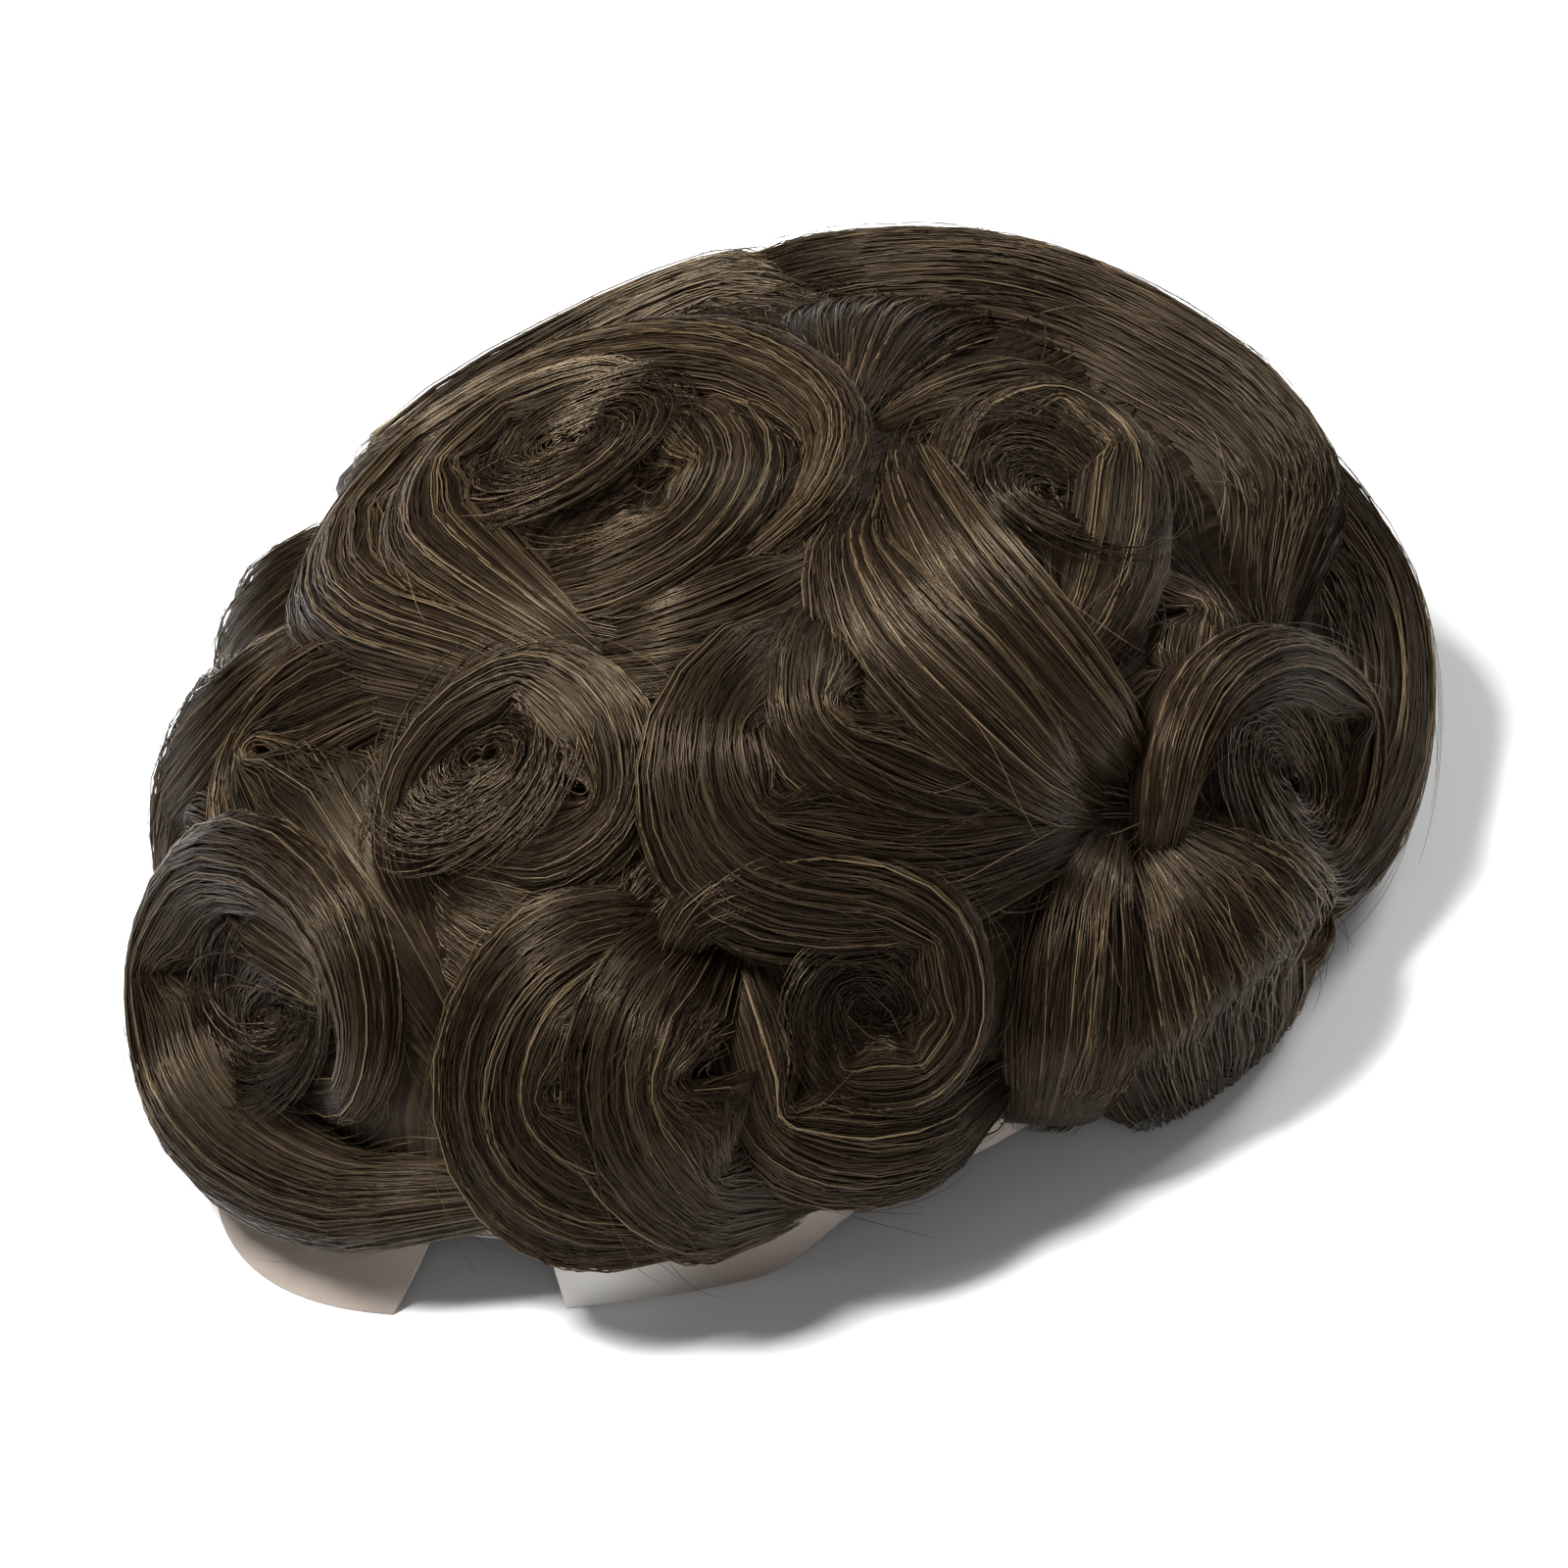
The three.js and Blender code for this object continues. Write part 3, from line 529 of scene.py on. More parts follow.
combedRows = {
    # this broad wave is parted in an outer and an inner lock, so that no strand turns in a tight corner
    "crown_wave": [(0.15, -0.12, 0.025, 0.22), (0.17, -0.03, 0.035, 0.36), (0.11, 0.06, 0.045, 0.44),
                   (-0.02, 0.09, 0.06, 0.50), (-0.16, 0.075, 0.07, 0.54), (-0.30, 0.02, 0.08, 0.58),
                   (-0.395, -0.08, 0.09, 0.62), (-0.40, -0.20, 0.095, 0.62), (-0.32, -0.295, 0.10, 0.59),
                   (-0.19, -0.34, 0.10, 0.54), (-0.05, -0.34, 0.09, 0.48), (0.10, -0.33, 0.06, 0.36),
                   (0.23, -0.31, 0.03, 0.16)],
    "temple_wave": [(0.12, -0.31, 0.02, 0.15), (0.03, -0.32, 0.03, 0.28), (-0.10, -0.35, 0.07, 0.42),
                    (-0.23, -0.40, 0.13, 0.56), (-0.29, -0.47, 0.16, 0.62), (-0.22, -0.54, 0.155, 0.58),
                    (-0.09, -0.585, 0.12, 0.50), (0.03, -0.625, 0.10, 0.40), (0.13, -0.68, 0.07, 0.24)],
    "crown_curl": [(-0.10, -0.01, 0.05, 0.30), (-0.02, -0.02, 0.08, 0.38), (0.05, -0.06, 0.09, 0.40),
                   (0.07, -0.13, 0.09, 0.38), (0.02, -0.20, 0.09, 0.33), (-0.07, -0.235, 0.06, 0.20)],
    "side_roll_lower": [(0.29, -0.11, 0.05, 0.30), (0.28, -0.20, 0.09, 0.58), (0.30, -0.28, 0.11, 0.74),
                        (0.37, -0.32, 0.12, 0.78), (0.46, -0.285, 0.11, 0.74), (0.54, -0.21, 0.09, 0.64),
                        (0.60, -0.11, 0.06, 0.46), (0.65, -0.02, 0.03, 0.18)],
    # the strands run on over the start of the far rope
    "back_rope": [(-0.46, 0.29, 0.03, 0.50), (-0.34, 0.345, 0.05, 0.74), (-0.20, 0.40, 0.055, 0.78),
                  (-0.07, 0.45, 0.065, 0.82), (0.06, 0.47, 0.08, 0.84), (0.18, 0.47, 0.09, 0.88),
                  (0.30, 0.48, 0.10, 0.94), (0.42, 0.46, 0.10, 0.90), (0.53, 0.39, 0.06, 0.55)],
    # it comes out from under the brow curl
    "brow_band": [(0.42, -0.44, 0.05, 0.30), (0.48, -0.48, 0.07, 0.52), (0.56, -0.52, 0.08, 0.64),
                  (0.65, -0.49, 0.08, 0.64), (0.73, -0.41, 0.07, 0.54), (0.77, -0.32, 0.04, 0.32)],
    # broad arcs from the parting down to the hem
    "front_roll": [(0.37, -0.44, 0.04, 0.25), (0.32, -0.50, 0.10, 0.52), (0.29, -0.57, 0.15, 0.70),
                   (0.31, -0.64, 0.18, 0.78), (0.39, -0.66, 0.16, 0.74), (0.50, -0.63, 0.11, 0.60),
                   (0.62, -0.57, 0.06, 0.38)],
    # one broad fall of hair over the ear, which also covers the neck lock
    "ear_wave": [(0.70, 0.04, 0.08, 0.38), (0.75, 0.04, 0.18, 0.64), (0.80, 0.04, 0.24, 0.78),
                 (0.84, 0.04, 0.26, 0.80), (0.87, 0.04, 0.25, 0.60)],
    "neck_lock": [(0.78, 0.21, 0.06, 0.42), (0.82, 0.17, 0.11, 0.64), (0.86, 0.14, 0.11, 0.68),
                  (0.885, 0.12, 0.09, 0.45)]}
# How far a rope's strands cross it; how much lighter or darker a lock is painted, as painted light on the
# crown and temple locks that catch the light and painted shade on the ropes and the brow and forelock curls;
# and which ends are cut blunt.
twists = {"back_rope": 1.0, "nape_rope": 0.5, "far_rope": 0.5}
paintedLightingByLock = {"back_rope": -0.18, "crown_wave": 0.10, "crown_wave_inner": 0.06, "crown_curl": 0.10,
         "crown_sweep": 0.10, "brow_curl": -0.04, "forelock_curl": -0.05, "far_rope": -0.14,
         "temple_wave": 0.04}
bluntEnds = {"ear_wave_side": "end", "ear_wave": "end", "neck_lock": "end", "far_rope": "end",
             "far_fringe": "end", "forelock_tuft": "start"}
for lock in locks:
    lock["rows"] = combedRows.get(lock["name"], lock["rows"])
    lock["twist"] = twists.get(lock["name"], 0)
    lock["paintedLighting"] = paintedLightingByLock.get(lock["name"], 0)
    lock["blunt"] = bluntEnds.get(lock["name"], "")

# The hidden side and the nape: plain waves side by side, that sway as they run down to the edge.
plainWaves = {"count": 8, "fromAngle": 70, "toAngle": 222, "sway": 0.06, "rows": [
    (0.42, 0.06, 0.40), (0.55, 0.11, 0.72), (0.68, 0.15, 0.78), (0.80, 0.165, 0.62), (0.89, 0.165, 0.36)]}
for k in range(plainWaves["count"]):
    angleRange = plainWaves["toAngle"] - plainWaves["fromAngle"]
    direction = math.radians(plainWaves["fromAngle"] + angleRange * k / (plainWaves["count"] - 1))
    rows = []
    for i, (down, wide, high) in enumerate(plainWaves["rows"]):
        share = i / (len(plainWaves["rows"]) - 1)
        sway = plainWaves["sway"] * math.sin(share * 2 * math.pi) * (1 - share)
        rows.append((down * math.cos(direction) - sway * math.sin(direction),
                     down * math.sin(direction) + sway * math.cos(direction), wide, high))
    locks.append(dict(name=f"back_wave_{k + 1}", lean=0, rows=rows, blunt="end", twist=0, paintedLighting=0,
                      hidden=True))


def meshObject(name, points, faces, material):
    mesh = bpy.data.meshes.new(name)
    mesh.from_pydata([tuple(p) for p in points], [], faces)
    mesh.materials.append(material)
    made = bpy.data.objects.new(name, mesh)
    scene.collection.objects.link(made)
    return made


def distances(line):
    # how far along a line of points each one lies
    steps = np.linalg.norm(np.diff(line, axis=0), axis=-1)
    return np.concatenate([[0], np.cumsum(steps)])


def lockBody(lock):
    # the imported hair: an arched strip with a flat underside, closed at both tips
    rowCount = len(lock["rows"])
    inner = np.linspace(0, rowCount - 1, (rowCount - 1) * strandStyle["bodySections"] + 1)
    tips = strandStyle["tipRows"] * np.sin(np.linspace(0, math.pi / 2, 7)[1:])
    # the body of a blunt end stops short of its strands
    startTip, endTip = (0.85 if name in lock["blunt"] else 0.7 for name in ("start", "end"))
    places = np.concatenate([-tips[::-1] * startTip, inner, rowCount - 1 + tips * endTip])
    section = crossSections(lock, places[:, None])
    turns = np.linspace(math.pi, 0, strandStyle["bodyArch"])[None, :]
    beyond = np.abs(places - np.clip(places, 0, rowCount - 1)) / strandStyle["tipRows"]
    beyond = np.where(places < 0, beyond / startTip, beyond / endTip)[:, None]
    section["high"] = section["high"] * np.sqrt(np.maximum(0.02, 1 - beyond ** 2))
    arch = onLock(section, turns, strandStyle["bodyDepth"])
    under = onHead(section["centre"][..., 0], section["centre"][..., 1], lockBottom - 0.001)
    ring = np.concatenate([under, arch], axis=1)
    ring[..., 2] = np.maximum(ring[..., 2], floorGap)
    ringSize = ring.shape[1]
    points = [p for row in ring for p in row]
    points += [ring[0].mean(axis=0), ring[-1].mean(axis=0)]
    faces = []
    for s in range(len(places) - 1):
        for i in range(ringSize):
            j = (i + 1) % ringSize
            faces.append((s * ringSize + i, (s + 1) * ringSize + i,
                          (s + 1) * ringSize + j, s * ringSize + j))
    for i in range(ringSize):
        j = (i + 1) % ringSize
        faces.append((len(points) - 2, i, j))
        faces.append((len(points) - 1, (len(places) - 1) * ringSize + j, (len(places) - 1) * ringSize + i))
    body = meshObject(lock["name"], points, faces, shadedPackedHair)
    body.data.polygons.foreach_set("use_smooth", [True] * len(faces))
    # UV in metres: across the comb and along it
    alongLength = distances(arch[:, turns.size // 2])
    acrossLength = np.concatenate([[0], distances(arch[len(places) // 2])])
    uv = body.data.uv_layers.new(name="combed")
    spots = [(acrossLength[v % ringSize] + 0.1 * lock["seed"], alongLength[v // ringSize])
             if v < len(points) - 2 else (0.1 * lock["seed"], 0.0) for v in
             (loop.vertex_index for loop in body.data.loops)]
    uv.data.foreach_set("uv", np.array(spots, np.float32).ravel())
    return body


# Turns guide lines into closed, tapered strands with three sides, each point as wide as its taper says.
def strandTree():
    tree = bpy.data.node_groups.new("strands_from_guides", "GeometryNodeTree")
    face = tree.interface
    face.new_socket("Geometry", in_out="INPUT", socket_type="NodeSocketGeometry")
    face.new_socket("Strand Width", in_out="INPUT", socket_type="NodeSocketFloat")
    face.new_socket("Sides", in_out="INPUT", socket_type="NodeSocketInt")
    face.new_socket("Finish", in_out="INPUT", socket_type="NodeSocketMaterial")
    face.new_socket("Geometry", in_out="OUTPUT", socket_type="NodeSocketGeometry")
    given = addNode(tree, "NodeGroupInput").outputs
    curve = addNode(tree, "GeometryNodeMeshToCurve", {"Mesh": given["Geometry"]}).outputs["Curve"]
    taper = addNode(tree, "GeometryNodeInputNamedAttribute", {"Name": "taper"}, data_type="FLOAT")
    half = addNode(tree, "ShaderNodeMath", {0: given["Strand Width"], 1: 0.5}, operation="MULTIPLY")
    profile = addNode(tree, "GeometryNodeCurvePrimitiveCircle",
                      {"Resolution": given["Sides"], "Radius": half.outputs[0]}).outputs["Curve"]
    tube = addNode(tree, "GeometryNodeCurveToMesh", {
        "Curve": curve, "Profile Curve": profile, "Scale": taper.outputs["Attribute"], "Fill Caps": True})
    rounded = addNode(tree, "GeometryNodeSetShadeSmooth", {"Geometry": tube.outputs["Mesh"]})
    real = addNode(tree, "GeometryNodeRealizeInstances", {"Geometry": rounded.outputs["Geometry"]})
    coated = addNode(tree, "GeometryNodeSetMaterial",
                     {"Geometry": real.outputs["Geometry"], "Material": given["Finish"]})
    addNode(tree, "NodeGroupOutput", {"Geometry": coated.outputs["Geometry"]})
    return tree


strandsFromGuides = strandTree()


def growStrands(name, guides, tapers, shades, width):
    # guides: strands x points x 3; none goes below the floor
    count, points = guides.shape[:2]
    guides = np.concatenate([guides[..., :2], np.maximum(guides[..., 2:], floorGap)], axis=-1)
    index = np.arange(count * points).reshape(count, points)
    edges = np.stack([index[:, :-1], index[:, 1:]], axis=-1).reshape(-1, 2)
    mesh = bpy.data.meshes.new(name)
    mesh.vertices.add(count * points)
    mesh.vertices.foreach_set("co", guides.astype(np.float32).ravel())
    mesh.edges.add(len(edges))
    mesh.edges.foreach_set("vertices", edges.astype(np.int32).ravel())
    for key, values in (("taper", tapers), ("shade", shades)):
        values = np.broadcast_to(values, (count, points)).astype(np.float32)
        mesh.attributes.new(key, "FLOAT", "POINT").data.foreach_set("value", values.ravel())
    grown = bpy.data.objects.new(name, mesh)
    scene.collection.objects.link(grown)
    modifier = grown.modifiers.new("strands", "NODES")
    modifier.node_group = strandsFromGuides
    wanted = {"Strand Width": width, "Sides": 3, "Finish": hairStrands}
    for item in strandsFromGuides.interface.items_tree:
        if item.in_out == "INPUT" and item.name in wanted:
            modifier[item.identifier] = wanted[item.name]
    ready = grown.evaluated_get(bpy.context.evaluated_depsgraph_get())
    plain = bpy.data.meshes.new_from_object(ready)
    grown.modifiers.clear()
    grown.data = plain
    bpy.data.meshes.remove(mesh)
    return grown


def taperAlong(t, blunt=0.3):
    # full in the middle, fine at both ends
    return blunt + (1 - blunt) * np.sin(np.clip(t, 0, 1) * math.pi) ** 0.5


def bunching(x, dice, lengths=(0.0011, 0.0026, 0.006)):
    # smooth noise of about -1 to 1 over a width in metres: hairs lie in bunches of these widths
    return sum(np.sin(2 * math.pi * (x / length * dice.uniform(0.8, 1.25) + dice.random()))
               for length in lengths) / 2.2


def lockStrands(lock, dice):
    style = strandStyle
    rowCount = len(lock["rows"])
    middle = crossSections(lock, np.linspace(0, rowCount - 1, 24)[:, None])
    arch = onLock(middle, np.linspace(math.pi, 0, 16)[None, :])
    archWidth = np.linalg.norm(np.diff(arch, axis=1), axis=-1).sum(axis=1).max()
    kept = style["hiddenShare"] if lock.get("hidden") else 1
    count = int(archWidth / style["spacing"] * style["layers"] * kept)
    # the points of a strand lie closer together where the lock bends
    places = np.linspace(-style["tipRows"], rowCount - 1 + style["tipRows"], 80)
    finer = crossSections(lock, places[:, None])
    middleLine = onHead(finer["centre"][:, 0, 0], finer["centre"][:, 0, 1], bed["top"])
    lengths = np.linalg.norm(np.diff(middleLine, axis=0), axis=-1)
    turning = np.abs(np.diff(np.unwrap(np.arctan2(finer["path"][:, 0, 1], finer["path"][:, 0, 0]))))
    cost = np.concatenate([[0], np.cumsum(lengths / style["pointGap"] + turning / style["pointTurn"])])
    points = int(np.clip(cost[-1] * 0.75, style["fewestPoints"], style["mostPoints"]))

    def chance(share=1.0):
        return dice.random((count, 1)) * share

    t = np.linspace(0, 1, points)[None, :]
    tip = style["tipRows"]
    startReach, endReach = (0.93 if name in lock["blunt"] else 0.2 for name in ("start", "end"))
    start = -tip * (startReach + chance(1 - startReach))
    start = start + (rowCount - 1) * np.where(chance() < style["wholeShare"], 0, chance(style["shortened"]))
    end = rowCount - 1 + tip * (endReach + chance(1 - endReach))
    end = end - (rowCount - 1) * np.where(chance() < style["wholeShare"], 0, chance(style["shortened"]))
    loose = chance() < style["looseShare"]
    looseStart = chance(0.7) * (rowCount - 1)
    start = np.where(loose, looseStart, start)
    end = np.where(loose, np.minimum(looseStart + 0.8 + chance(1.4), rowCount - 1 + tip * 0.7), end)
    startCost, endCost = np.interp(start, places, cost), np.interp(end, places, cost)
    section = crossSections(lock, np.interp(startCost + (endCost - startCost) * t, cost, places))
    turn = np.arccos(np.clip(1 - 2 * chance(), -1, 1)) * 0.35 + chance(math.pi * 0.65)
    bunch = bunching(turn * archWidth / math.pi, dice)
    turn = turn + (chance() - 0.5) * style["drift"] * (t - 0.5) * 2
    turn = turn + 0.025 * np.sin(t * 7 + bunch * 3)
    # a twisted rope's strands cross it slantwise
    turn = turn * (1 + lock["twist"] / math.pi) - lock["twist"] * t
    turn = np.clip(turn, 0.02, math.pi - 0.02)
    depth = np.where(loose, 1.0, 0.955 + 0.035 * bunch + chance(0.02))
    aside = np.where(loose, (chance() - 0.5) * style["looseAside"] * t ** 1.6, 0.0)
    extra = np.where(loose, style["looseLift"] * chance() * t ** 1.5, 0.0)
    guides = onLock(section, turn, depth, aside, extra)
    tapers = taperAlong(t) * np.where(loose, style["looseWidth"], 0.75 + chance(0.5))
    along = 0.05 * np.sin(t * 9 + bunch * 5)
    if lock["twist"]:
        # the dark and light bands across a twisted rope: painted shade and painted highlight along the twist
        along = style["paintedRopeBands"] * lock["twist"] * np.sin(t * 24 + turn * 2.6)
    own = style["ownShade"] * dice.standard_normal((count, 1))
    # the lock's painted light and painted shade is added to each strand's own shade
    shades = np.clip(style["shade"] + lock["paintedLighting"] + style["bunchShade"] * bunch + along + own, 0, 1)
    return growStrands(lock["name"] + "_strands", guides, tapers, shades, style["width"])


def joined(name, objects):
    bpy.ops.object.select_all(action="DESELECT")
    for item in objects:
        item.select_set(True)
    bpy.context.view_layer.objects.active = objects[0]
    bpy.ops.object.join()
    objects[0].name = name
    return objects[0]


def triangles(objects):
    return sum(len(item.data.loops) - 2 * len(item.data.polygons) for item in objects)


pieces = []
for seed, lock in enumerate(locks):
    lock["seed"] = seed
    dice = np.random.default_rng(100 + seed)
    pieces.append(joined(lock["name"], [lockBody(lock), lockStrands(lock, dice)]))
print("locks:", len(pieces), "triangles:", triangles(pieces))


# The way the hair is combed and how high it stands, spread from the locks over the whole chart.
combing = {"cells": 121, "spread": 0.055, "swell": 0.3}


def combedField():
    centres, ways, heights = [], [], []
    for lock in locks:
        section = crossSections(lock, np.linspace(0, len(lock["rows"]) - 1, len(lock["rows"]) * 8))
        centres.append(section["centre"])
        ways.append(section["path"])
        heights.append(section["high"])
    centres, ways, heights = (np.concatenate(part) for part in (centres, ways, heights))
    line = np.linspace(-1, 1, combing["cells"])
    across, along = np.meshgrid(line, line, indexing="ij")
    spots = np.stack([across.ravel(), along.ravel()], axis=1)
    apart = ((spots[:, None, :] - centres[None, :, :]) ** 2).sum(axis=-1)
    weight = np.exp(-apart / combing["spread"] ** 2) + 1e-12 / (apart + 0.01)
    doubled = np.arctan2(ways[:, 1], ways[:, 0]) * 2
    east, north = weight @ np.cos(doubled), weight @ np.sin(doubled)
    standing = (weight @ heights) / weight.sum(axis=1)
    size = (combing["cells"], combing["cells"])
    return np.arctan2(north, east).reshape(size) / 2, standing.reshape(size)


combedWay, combedHeight = combedField()


def fieldAt(field, across, along):
    last = combing["cells"] - 1
    i = np.clip(np.rint((across + 1) / 2 * last).astype(int), 0, last)
    j = np.clip(np.rint((along + 1) / 2 * last).astype(int), 0, last)
    return field[i, j]


def bedTopAt(across, along):
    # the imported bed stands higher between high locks, and runs out at the edge of the hair
    swell = combing["swell"] * fieldAt(combedHeight, across, along)
    return bed["top"] + swell * smooth((bed["edge"] - np.hypot(across, along)) / 0.12)


# The hollow middle of each pin curl: strands run on from the roll round it and wind down to the scalp.
# Columns: across, along, radius and its share along the chart, height at the roll (share of hairDepth),
# how much of that height is left in the very middle, and turn, 1 to the left.
# How much is left also sets the strands' painted shade: the deeper the hollow, the darker they are painted.
curlMiddles = {"strands": 250, "usualRadius": 0.12, "points": 13, "width": 0.00026, "table": [
    ("crown_middle", -0.13, -0.09, 0.130, 1.00, 0.42, 0.90, 1),
    ("temple_middle", 0.06, -0.41, 0.125, 1.00, 0.52, 0.80, 1),
    ("forelock_middle", -0.165, -0.72, 0.165, 0.65, 0.50, 0.25, 1),
    ("brow_middle", 0.585, -0.37, 0.105, 1.00, 0.60, 0.45, -1),
    ("side_middle", 0.33, 0.165, 0.120, 1.00, 0.54, 0.60, -1),
    ("ear_middle", 0.715, 0.225, 0.140, 1.00, 0.58, 0.80, -1)]}


def curlMiddle(name, across, along, radius, squeeze, height, left, turn, dice):
    count = int(curlMiddles["strands"] * radius / curlMiddles["usualRadius"])

    def chance(share=1.0):
        return dice.random((count, 1)) * share

    t = np.linspace(0, 1, curlMiddles["points"])[None, :]
    outer = radius * np.sqrt(0.01 + chance(1.1))
    inward = 1 - (0.35 + chance(0.63)) * t ** 1.2
    around = chance(2 * math.pi) + turn * (1.6 + chance(1.8)) * t / np.maximum(0.5, outer / radius)
    reach = outer * inward
    shift = 0.08 * radius * np.sin(around * 2 + chance(0.8))
    spotX = across + (reach + shift) * np.cos(around)
    spotY = along + squeeze * (reach + shift) * np.sin(around)
    lift = lockBottom + height * hairDepth * (left + (1 - left) * np.minimum(1.1, reach / radius) ** 1.6)
    lift = np.maximum(lift, bedTopAt(spotX, spotY) + 0.0003) * (0.96 + chance(0.08)) - 0.0008 * t ** 4
    guides = onHead(spotX, spotY, lift)
    # strands deeper in the hollow are painted darker: painted shade in the middle of the curl
    shades = np.clip(0.02 + 0.44 * left + 0.22 * dice.standard_normal((count, 1)), 0, 1)
    return growStrands(name, guides, taperAlong(t) * (0.7 + chance(0.5)), shades, curlMiddles["width"])


for seed, row in enumerate(curlMiddles["table"]):
    pieces.append(curlMiddle(*row, np.random.default_rng(300 + seed)))
print("curl middles made, triangles:", triangles(pieces[-len(curlMiddles["table"]):]))


# Skin film: the same margin as the CAD cap, drawn finer.
margin = {"front": 0.017, "temple": 0.0015, "back": 0.0005, "frontDirection": -100, "hemStart": 0.84,
          "trims": [(-83, -66, 2, 0.92), (-47, -4, 14, 0.94)], "columns": 180}


def skinEdge(degrees):
    edge = np.ones_like(degrees)
    for low, high, taper, kept in margin["trims"]:
        edge = np.minimum(edge, 1 + (kept - 1) * smooth(np.minimum(degrees - low, high - degrees) / taper))
    return edge


def onSkin(down, direction, lift):
    point = onHead(down * np.cos(direction), down * np.sin(direction), lift)
    front = np.maximum(0, np.cos(direction - math.radians(margin["frontDirection"])))
    reach = (margin["back"] + (margin["temple"] - margin["back"]) * front
             + (margin["front"] - margin["temple"]) * front ** 9)
    start = margin["hemStart"]
    share = np.maximum(0, (down - start) / (1 - start))
    slope = 1.6 * share ** 0.6 * reach / (cap["height"] * math.cos(start * math.pi / 2))
    splay = reach * share ** 1.6 + lift * (np.hypot(1, slope) - 1)
    outward = (point - crown) * (1, 1, 0)
    outward = outward / np.maximum(1e-9, np.linalg.norm(outward, axis=-1, keepdims=True))
    return point + outward * splay[..., None]


def shell(name, ringShares, inner, outer, material):
    # a closed shell between two lifts over the skin; outer may be a function of the place
    degrees = np.unique(np.concatenate([np.linspace(-180, 180, margin["columns"], endpoint=False),
                                        [-83, -82, -81, -68, -67, -66]]))
    direction = np.radians(degrees)[None, :]
    kept = (skinEdge(degrees)[None, :] - bed["edge"]) / (1 - bed["edge"])
    down = np.asarray(ringShares)[:, None]
    down = np.where(down > bed["edge"], bed["edge"] + (down - bed["edge"]) * kept, down + 0 * kept)
    top = outer(down * np.cos(direction), down * np.sin(direction)) if callable(outer) else outer
    rings = np.concatenate([onSkin(down, direction, top), onSkin(down, direction, inner)[::-1]])
    count = rings.shape[1]
    points = [p for ring in rings for p in ring]
    middle = np.array(0.0)
    topLift = outer(middle, middle) if callable(outer) else outer
    points += [onHead(middle, middle, lift) for lift in (topLift, inner)]
    faces = []
    for i in range(count):
        j = (i + 1) % count
        faces.append((len(points) - 2, i, j))
        for r in range(len(rings) - 1):
            faces.append((r * count + i, (r + 1) * count + i, (r + 1) * count + j, r * count + j))
        faces.append((len(points) - 1, (len(rings) - 1) * count + j, (len(rings) - 1) * count + i))
    made = meshObject(name, points, faces, material)
    made.data.polygons.foreach_set("use_smooth", [True] * len(faces))
    made.data.set_sharp_from_angle(angle=math.radians(50))
    return made


filmRings = np.concatenate([np.linspace(0.05, 0.85, 17), np.linspace(0.88, 1, 9)])
film = shell("skin_film", filmRings, 0, cap["thickness"], skinFilm)
# beside the front notch the film is painted lighter near its cut corner: a painted highlight where the film
# curls and catches the light
corner = {"degrees": -63, "width": 7}
paintedHighlight = []
for vertex in film.data.vertices:
    place = np.array(vertex.co) - crown
    across, along = place[0] / cap["halfWidth"], place[1] / cap["halfLength"]
    apart = (math.degrees(math.atan2(along, across)) - corner["degrees"]) / corner["width"]
    paintedHighlight.append(math.exp(-apart ** 2))
film.data.attributes.new("paintedHighlight", "FLOAT", "POINT").data.foreach_set("value", paintedHighlight)


# Rooted hair: a close bed over the skin, and loose hairs combed the way of the locks near them.
rooted = {"count": 2300, "points": 10, "step": 0.024, "rise": (0.02, 0.3), "sink": 0.0006, "width": 0.0003}


def rootedHair(dice):
    body = shell("rooted_body", np.linspace(0.04, bed["edge"], 24), bed["bottom"], bedTopAt, shadedPackedHair)
    uv = body.data.uv_layers.new(name="combed")
    spots = [(body.data.vertices[loop.vertex_index].co.x, body.data.vertices[loop.vertex_index].co.y)
             for loop in body.data.loops]
    uv.data.foreach_set("uv", np.array(spots, np.float32).ravel())
    count = rooted["count"]
    down = np.sqrt(dice.random(count)) * 0.87
    direction = dice.random(count) * 2 * math.pi
    here = np.stack([down * np.cos(direction), down * np.sin(direction)], axis=1)
    way = fieldAt(combedWay, here[:, 0], here[:, 1]) + math.pi * (dice.random(count) < 0.5)
    line = [here]
    for k in range(rooted["points"] - 1):
        ahead = fieldAt(combedWay, line[-1][:, 0], line[-1][:, 1])
        ahead = ahead + math.pi * (np.cos(ahead - way) < 0)
        # turn gently towards the field, so that a hair bends and never kinks
        way = way + np.clip((ahead - way + math.pi) % (2 * math.pi) - math.pi, -0.35, 0.35)
        line.append(line[-1] + rooted["step"] * np.stack([np.cos(way), np.sin(way)], axis=1))
    line = np.stack(line, axis=1)
    distance = np.hypot(line[..., 0], line[..., 1])
    line = line * np.minimum(1, 0.885 / np.maximum(distance, 1e-6))[..., None]
    t = np.linspace(0, 1, rooted["points"])[None, :]
    low, high = rooted["rise"]
    standing = fieldAt(combedHeight, line[..., 0], line[..., 1])
    standing = (standing + np.roll(standing, 1, axis=1) + np.roll(standing, -1, axis=1)) / 3
    share = (low + (high - low) * dice.random((count, 1))) * np.sin(t * math.pi * 0.9 + 0.15) ** 0.5
    share = share * smooth((0.95 - np.hypot(line[..., 0], line[..., 1])) / 0.15)
    lift = bedTopAt(line[..., 0], line[..., 1]) - rooted["sink"] + standing * share
    lift = lift + rooted["sink"] * 1.6 * np.sin(t * math.pi) ** 0.4
    guides = onHead(line[..., 0], line[..., 1], lift)
    shades = np.clip(0.36 + 0.14 * dice.standard_normal((count, 1)), 0, 1)
    strands = growStrands("rooted_strands", guides, taperAlong(t), shades, rooted["width"])
    return joined("rooted_hair", [body, strands])


pieces.append(rootedHair(np.random.default_rng(7)))


# Short hairs along the front edge, lying out over the bare film.
edgeHairs = {"count": 520, "points": 7, "from": -125, "to": -5, "length": 0.08, "width": 0.0002}


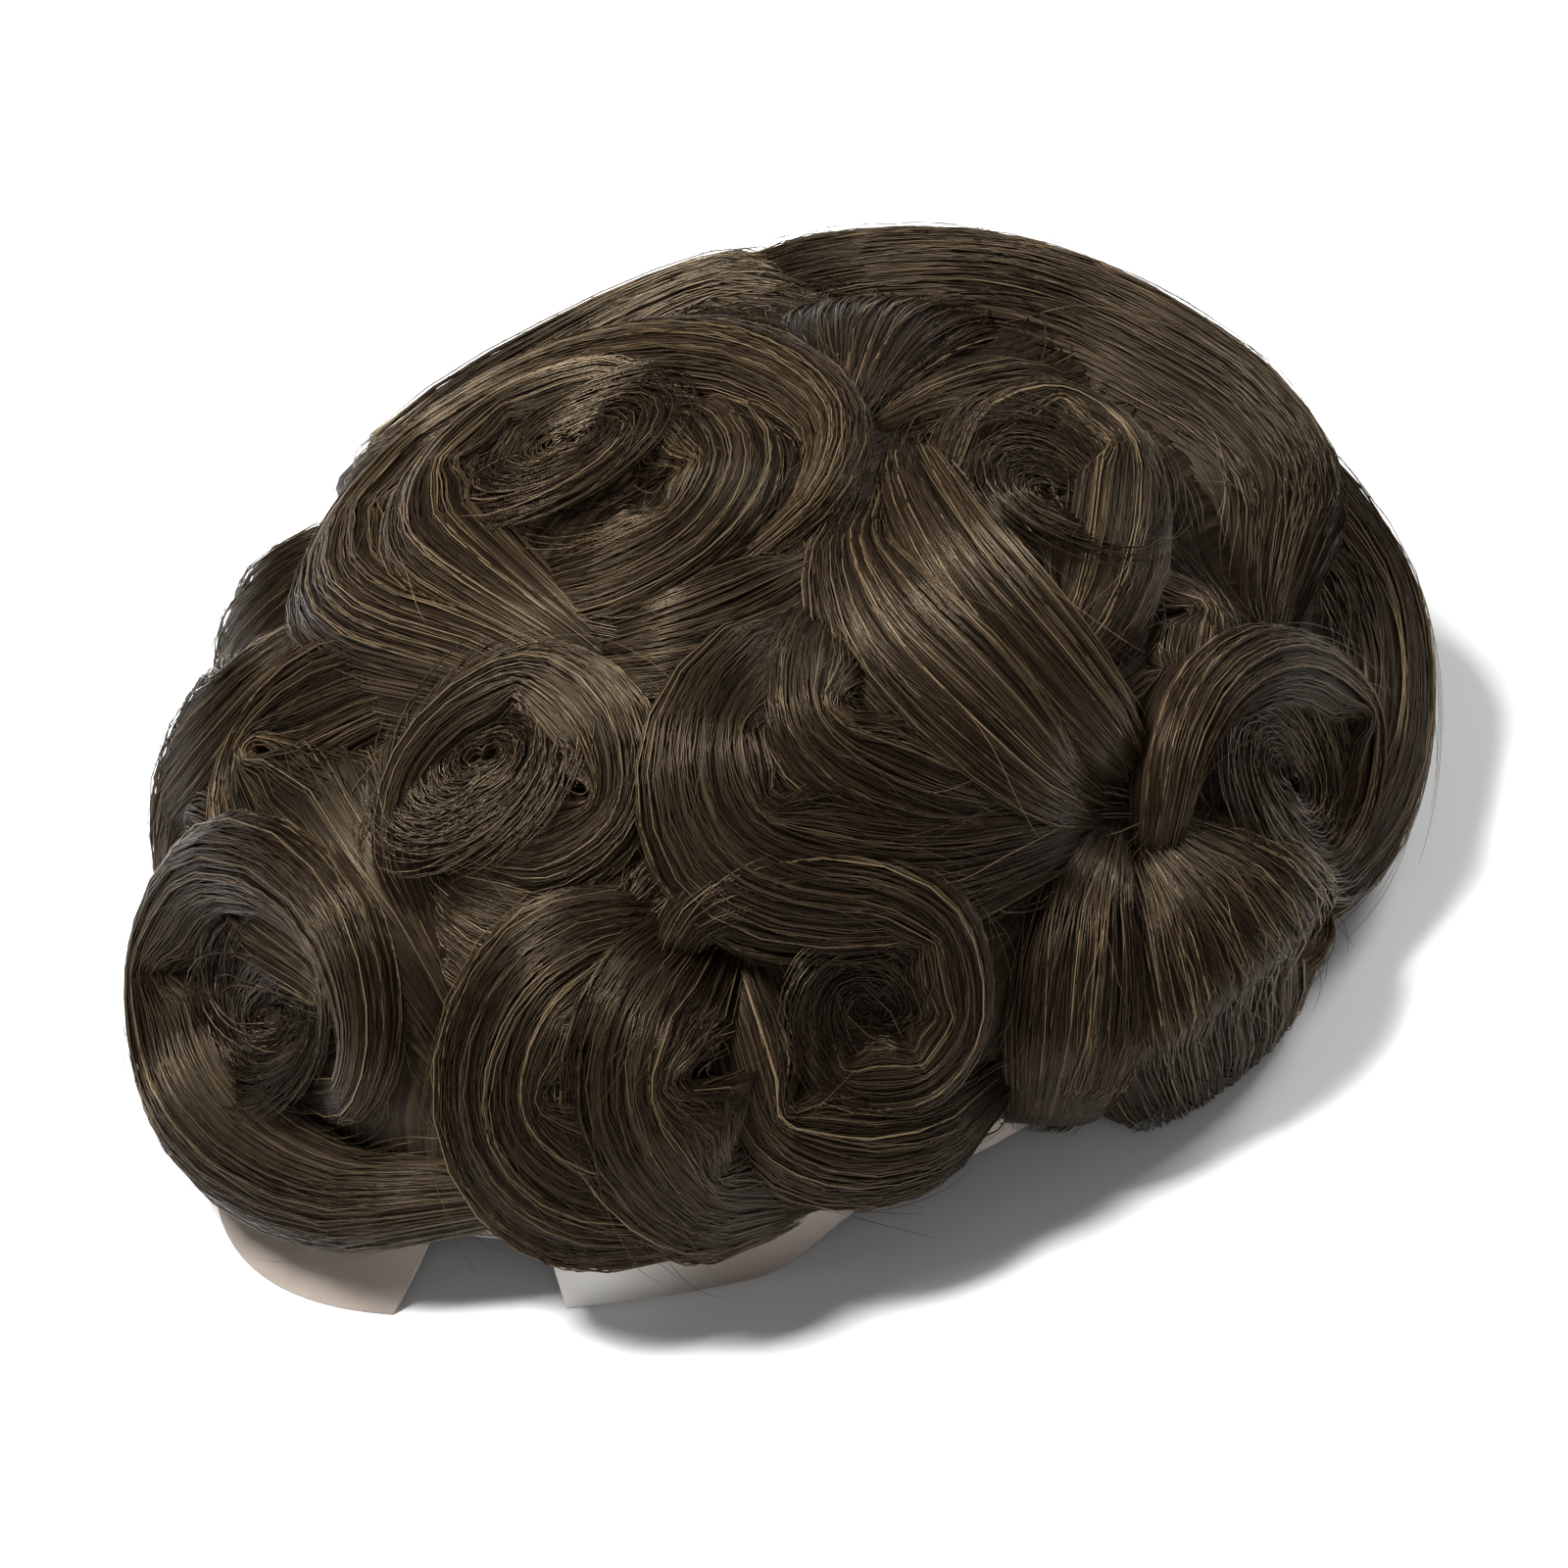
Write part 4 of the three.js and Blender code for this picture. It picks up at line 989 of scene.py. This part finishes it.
def shortHairs(dice):
    count, style = edgeHairs["count"], edgeHairs
    degrees = style["from"] + (style["to"] - style["from"]) * dice.random((count, 1))
    t = np.linspace(0, 1, style["points"])[None, :]
    length = style["length"] * (0.35 + 0.65 * dice.random((count, 1)))
    down = 0.865 + 0.015 * dice.random((count, 1)) + length * t * (1 - 0.45 * t)
    sweep = (dice.random((count, 1)) - 0.25) * 12
    direction = np.radians(degrees + sweep * t)
    down = np.minimum(down, 0.95)
    lift = 0.0016 + 0.003 * dice.random((count, 1)) * np.sin(t * math.pi * 0.8) + 0.005 * (1 - t)
    guides = onSkin(down, direction, lift)
    shades = np.clip(0.4 + 0.15 * dice.standard_normal((count, 1)), 0, 1)
    return growStrands("edge_hairs", guides, (1 - 0.75 * t) * 0.9, shades, style["width"])


pieces.append(shortHairs(np.random.default_rng(11)))
print("pieces:", len(pieces) + 1, "triangles in all:", triangles(pieces + [film]))

for piece in pieces:
    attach(piece, "root")
    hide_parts("hair")
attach(film, "root")
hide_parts("skin_cap")


# Stage: a plain white table and large soft lights.
def stage():
    mesh = bpy.data.meshes.new("table_top")
    half = 3.0
    corners = [(-half, -half, 0), (half, -half, 0), (half, half, 0), (-half, half, 0)]
    mesh.from_pydata(corners, [], [(0, 1, 2, 3)])
    table = bpy.data.objects.new("table_top", mesh)
    table.location.z = -0.0002
    scene.collection.objects.link(table)
    material, tree, surface = newMaterial("matt_white_board")
    surface.inputs["Base Color"].default_value = linear("#f6f6f6")
    surface.inputs["Roughness"].default_value = 0.9
    mesh.materials.append(material)


def softLight(name, azimuth, elevation, distance, size, power):
    lamp = bpy.data.lights.new(name, "AREA")
    lamp.size = size
    lamp.energy = power
    az, el = math.radians(azimuth), math.radians(elevation)
    towards = Vector((math.sin(az) * math.cos(el), -math.cos(az) * math.cos(el), math.sin(el)))
    light = bpy.data.objects.new(name, lamp)
    light.location = Vector(view["target"]) + towards * distance
    light.rotation_euler = towards.to_track_quat("Z", "Y").to_euler()
    scene.collection.objects.link(light)


stage()
softLight("key_above", -30, 66, 1.3, 0.35, 34)
softLight("back_right", 165, 48, 1.5, 0.5, 11)
softLight("fill_front", 50, 30, 1.5, 0.9, 3)
world = bpy.data.worlds.new("studio")
scene.world = world
world.use_nodes = True
world.node_tree.nodes["Background"].inputs["Color"].default_value = (1, 1, 1, 1)
world.node_tree.nodes["Background"].inputs["Strength"].default_value = 0.13
scene.view_settings.view_transform = "Standard"
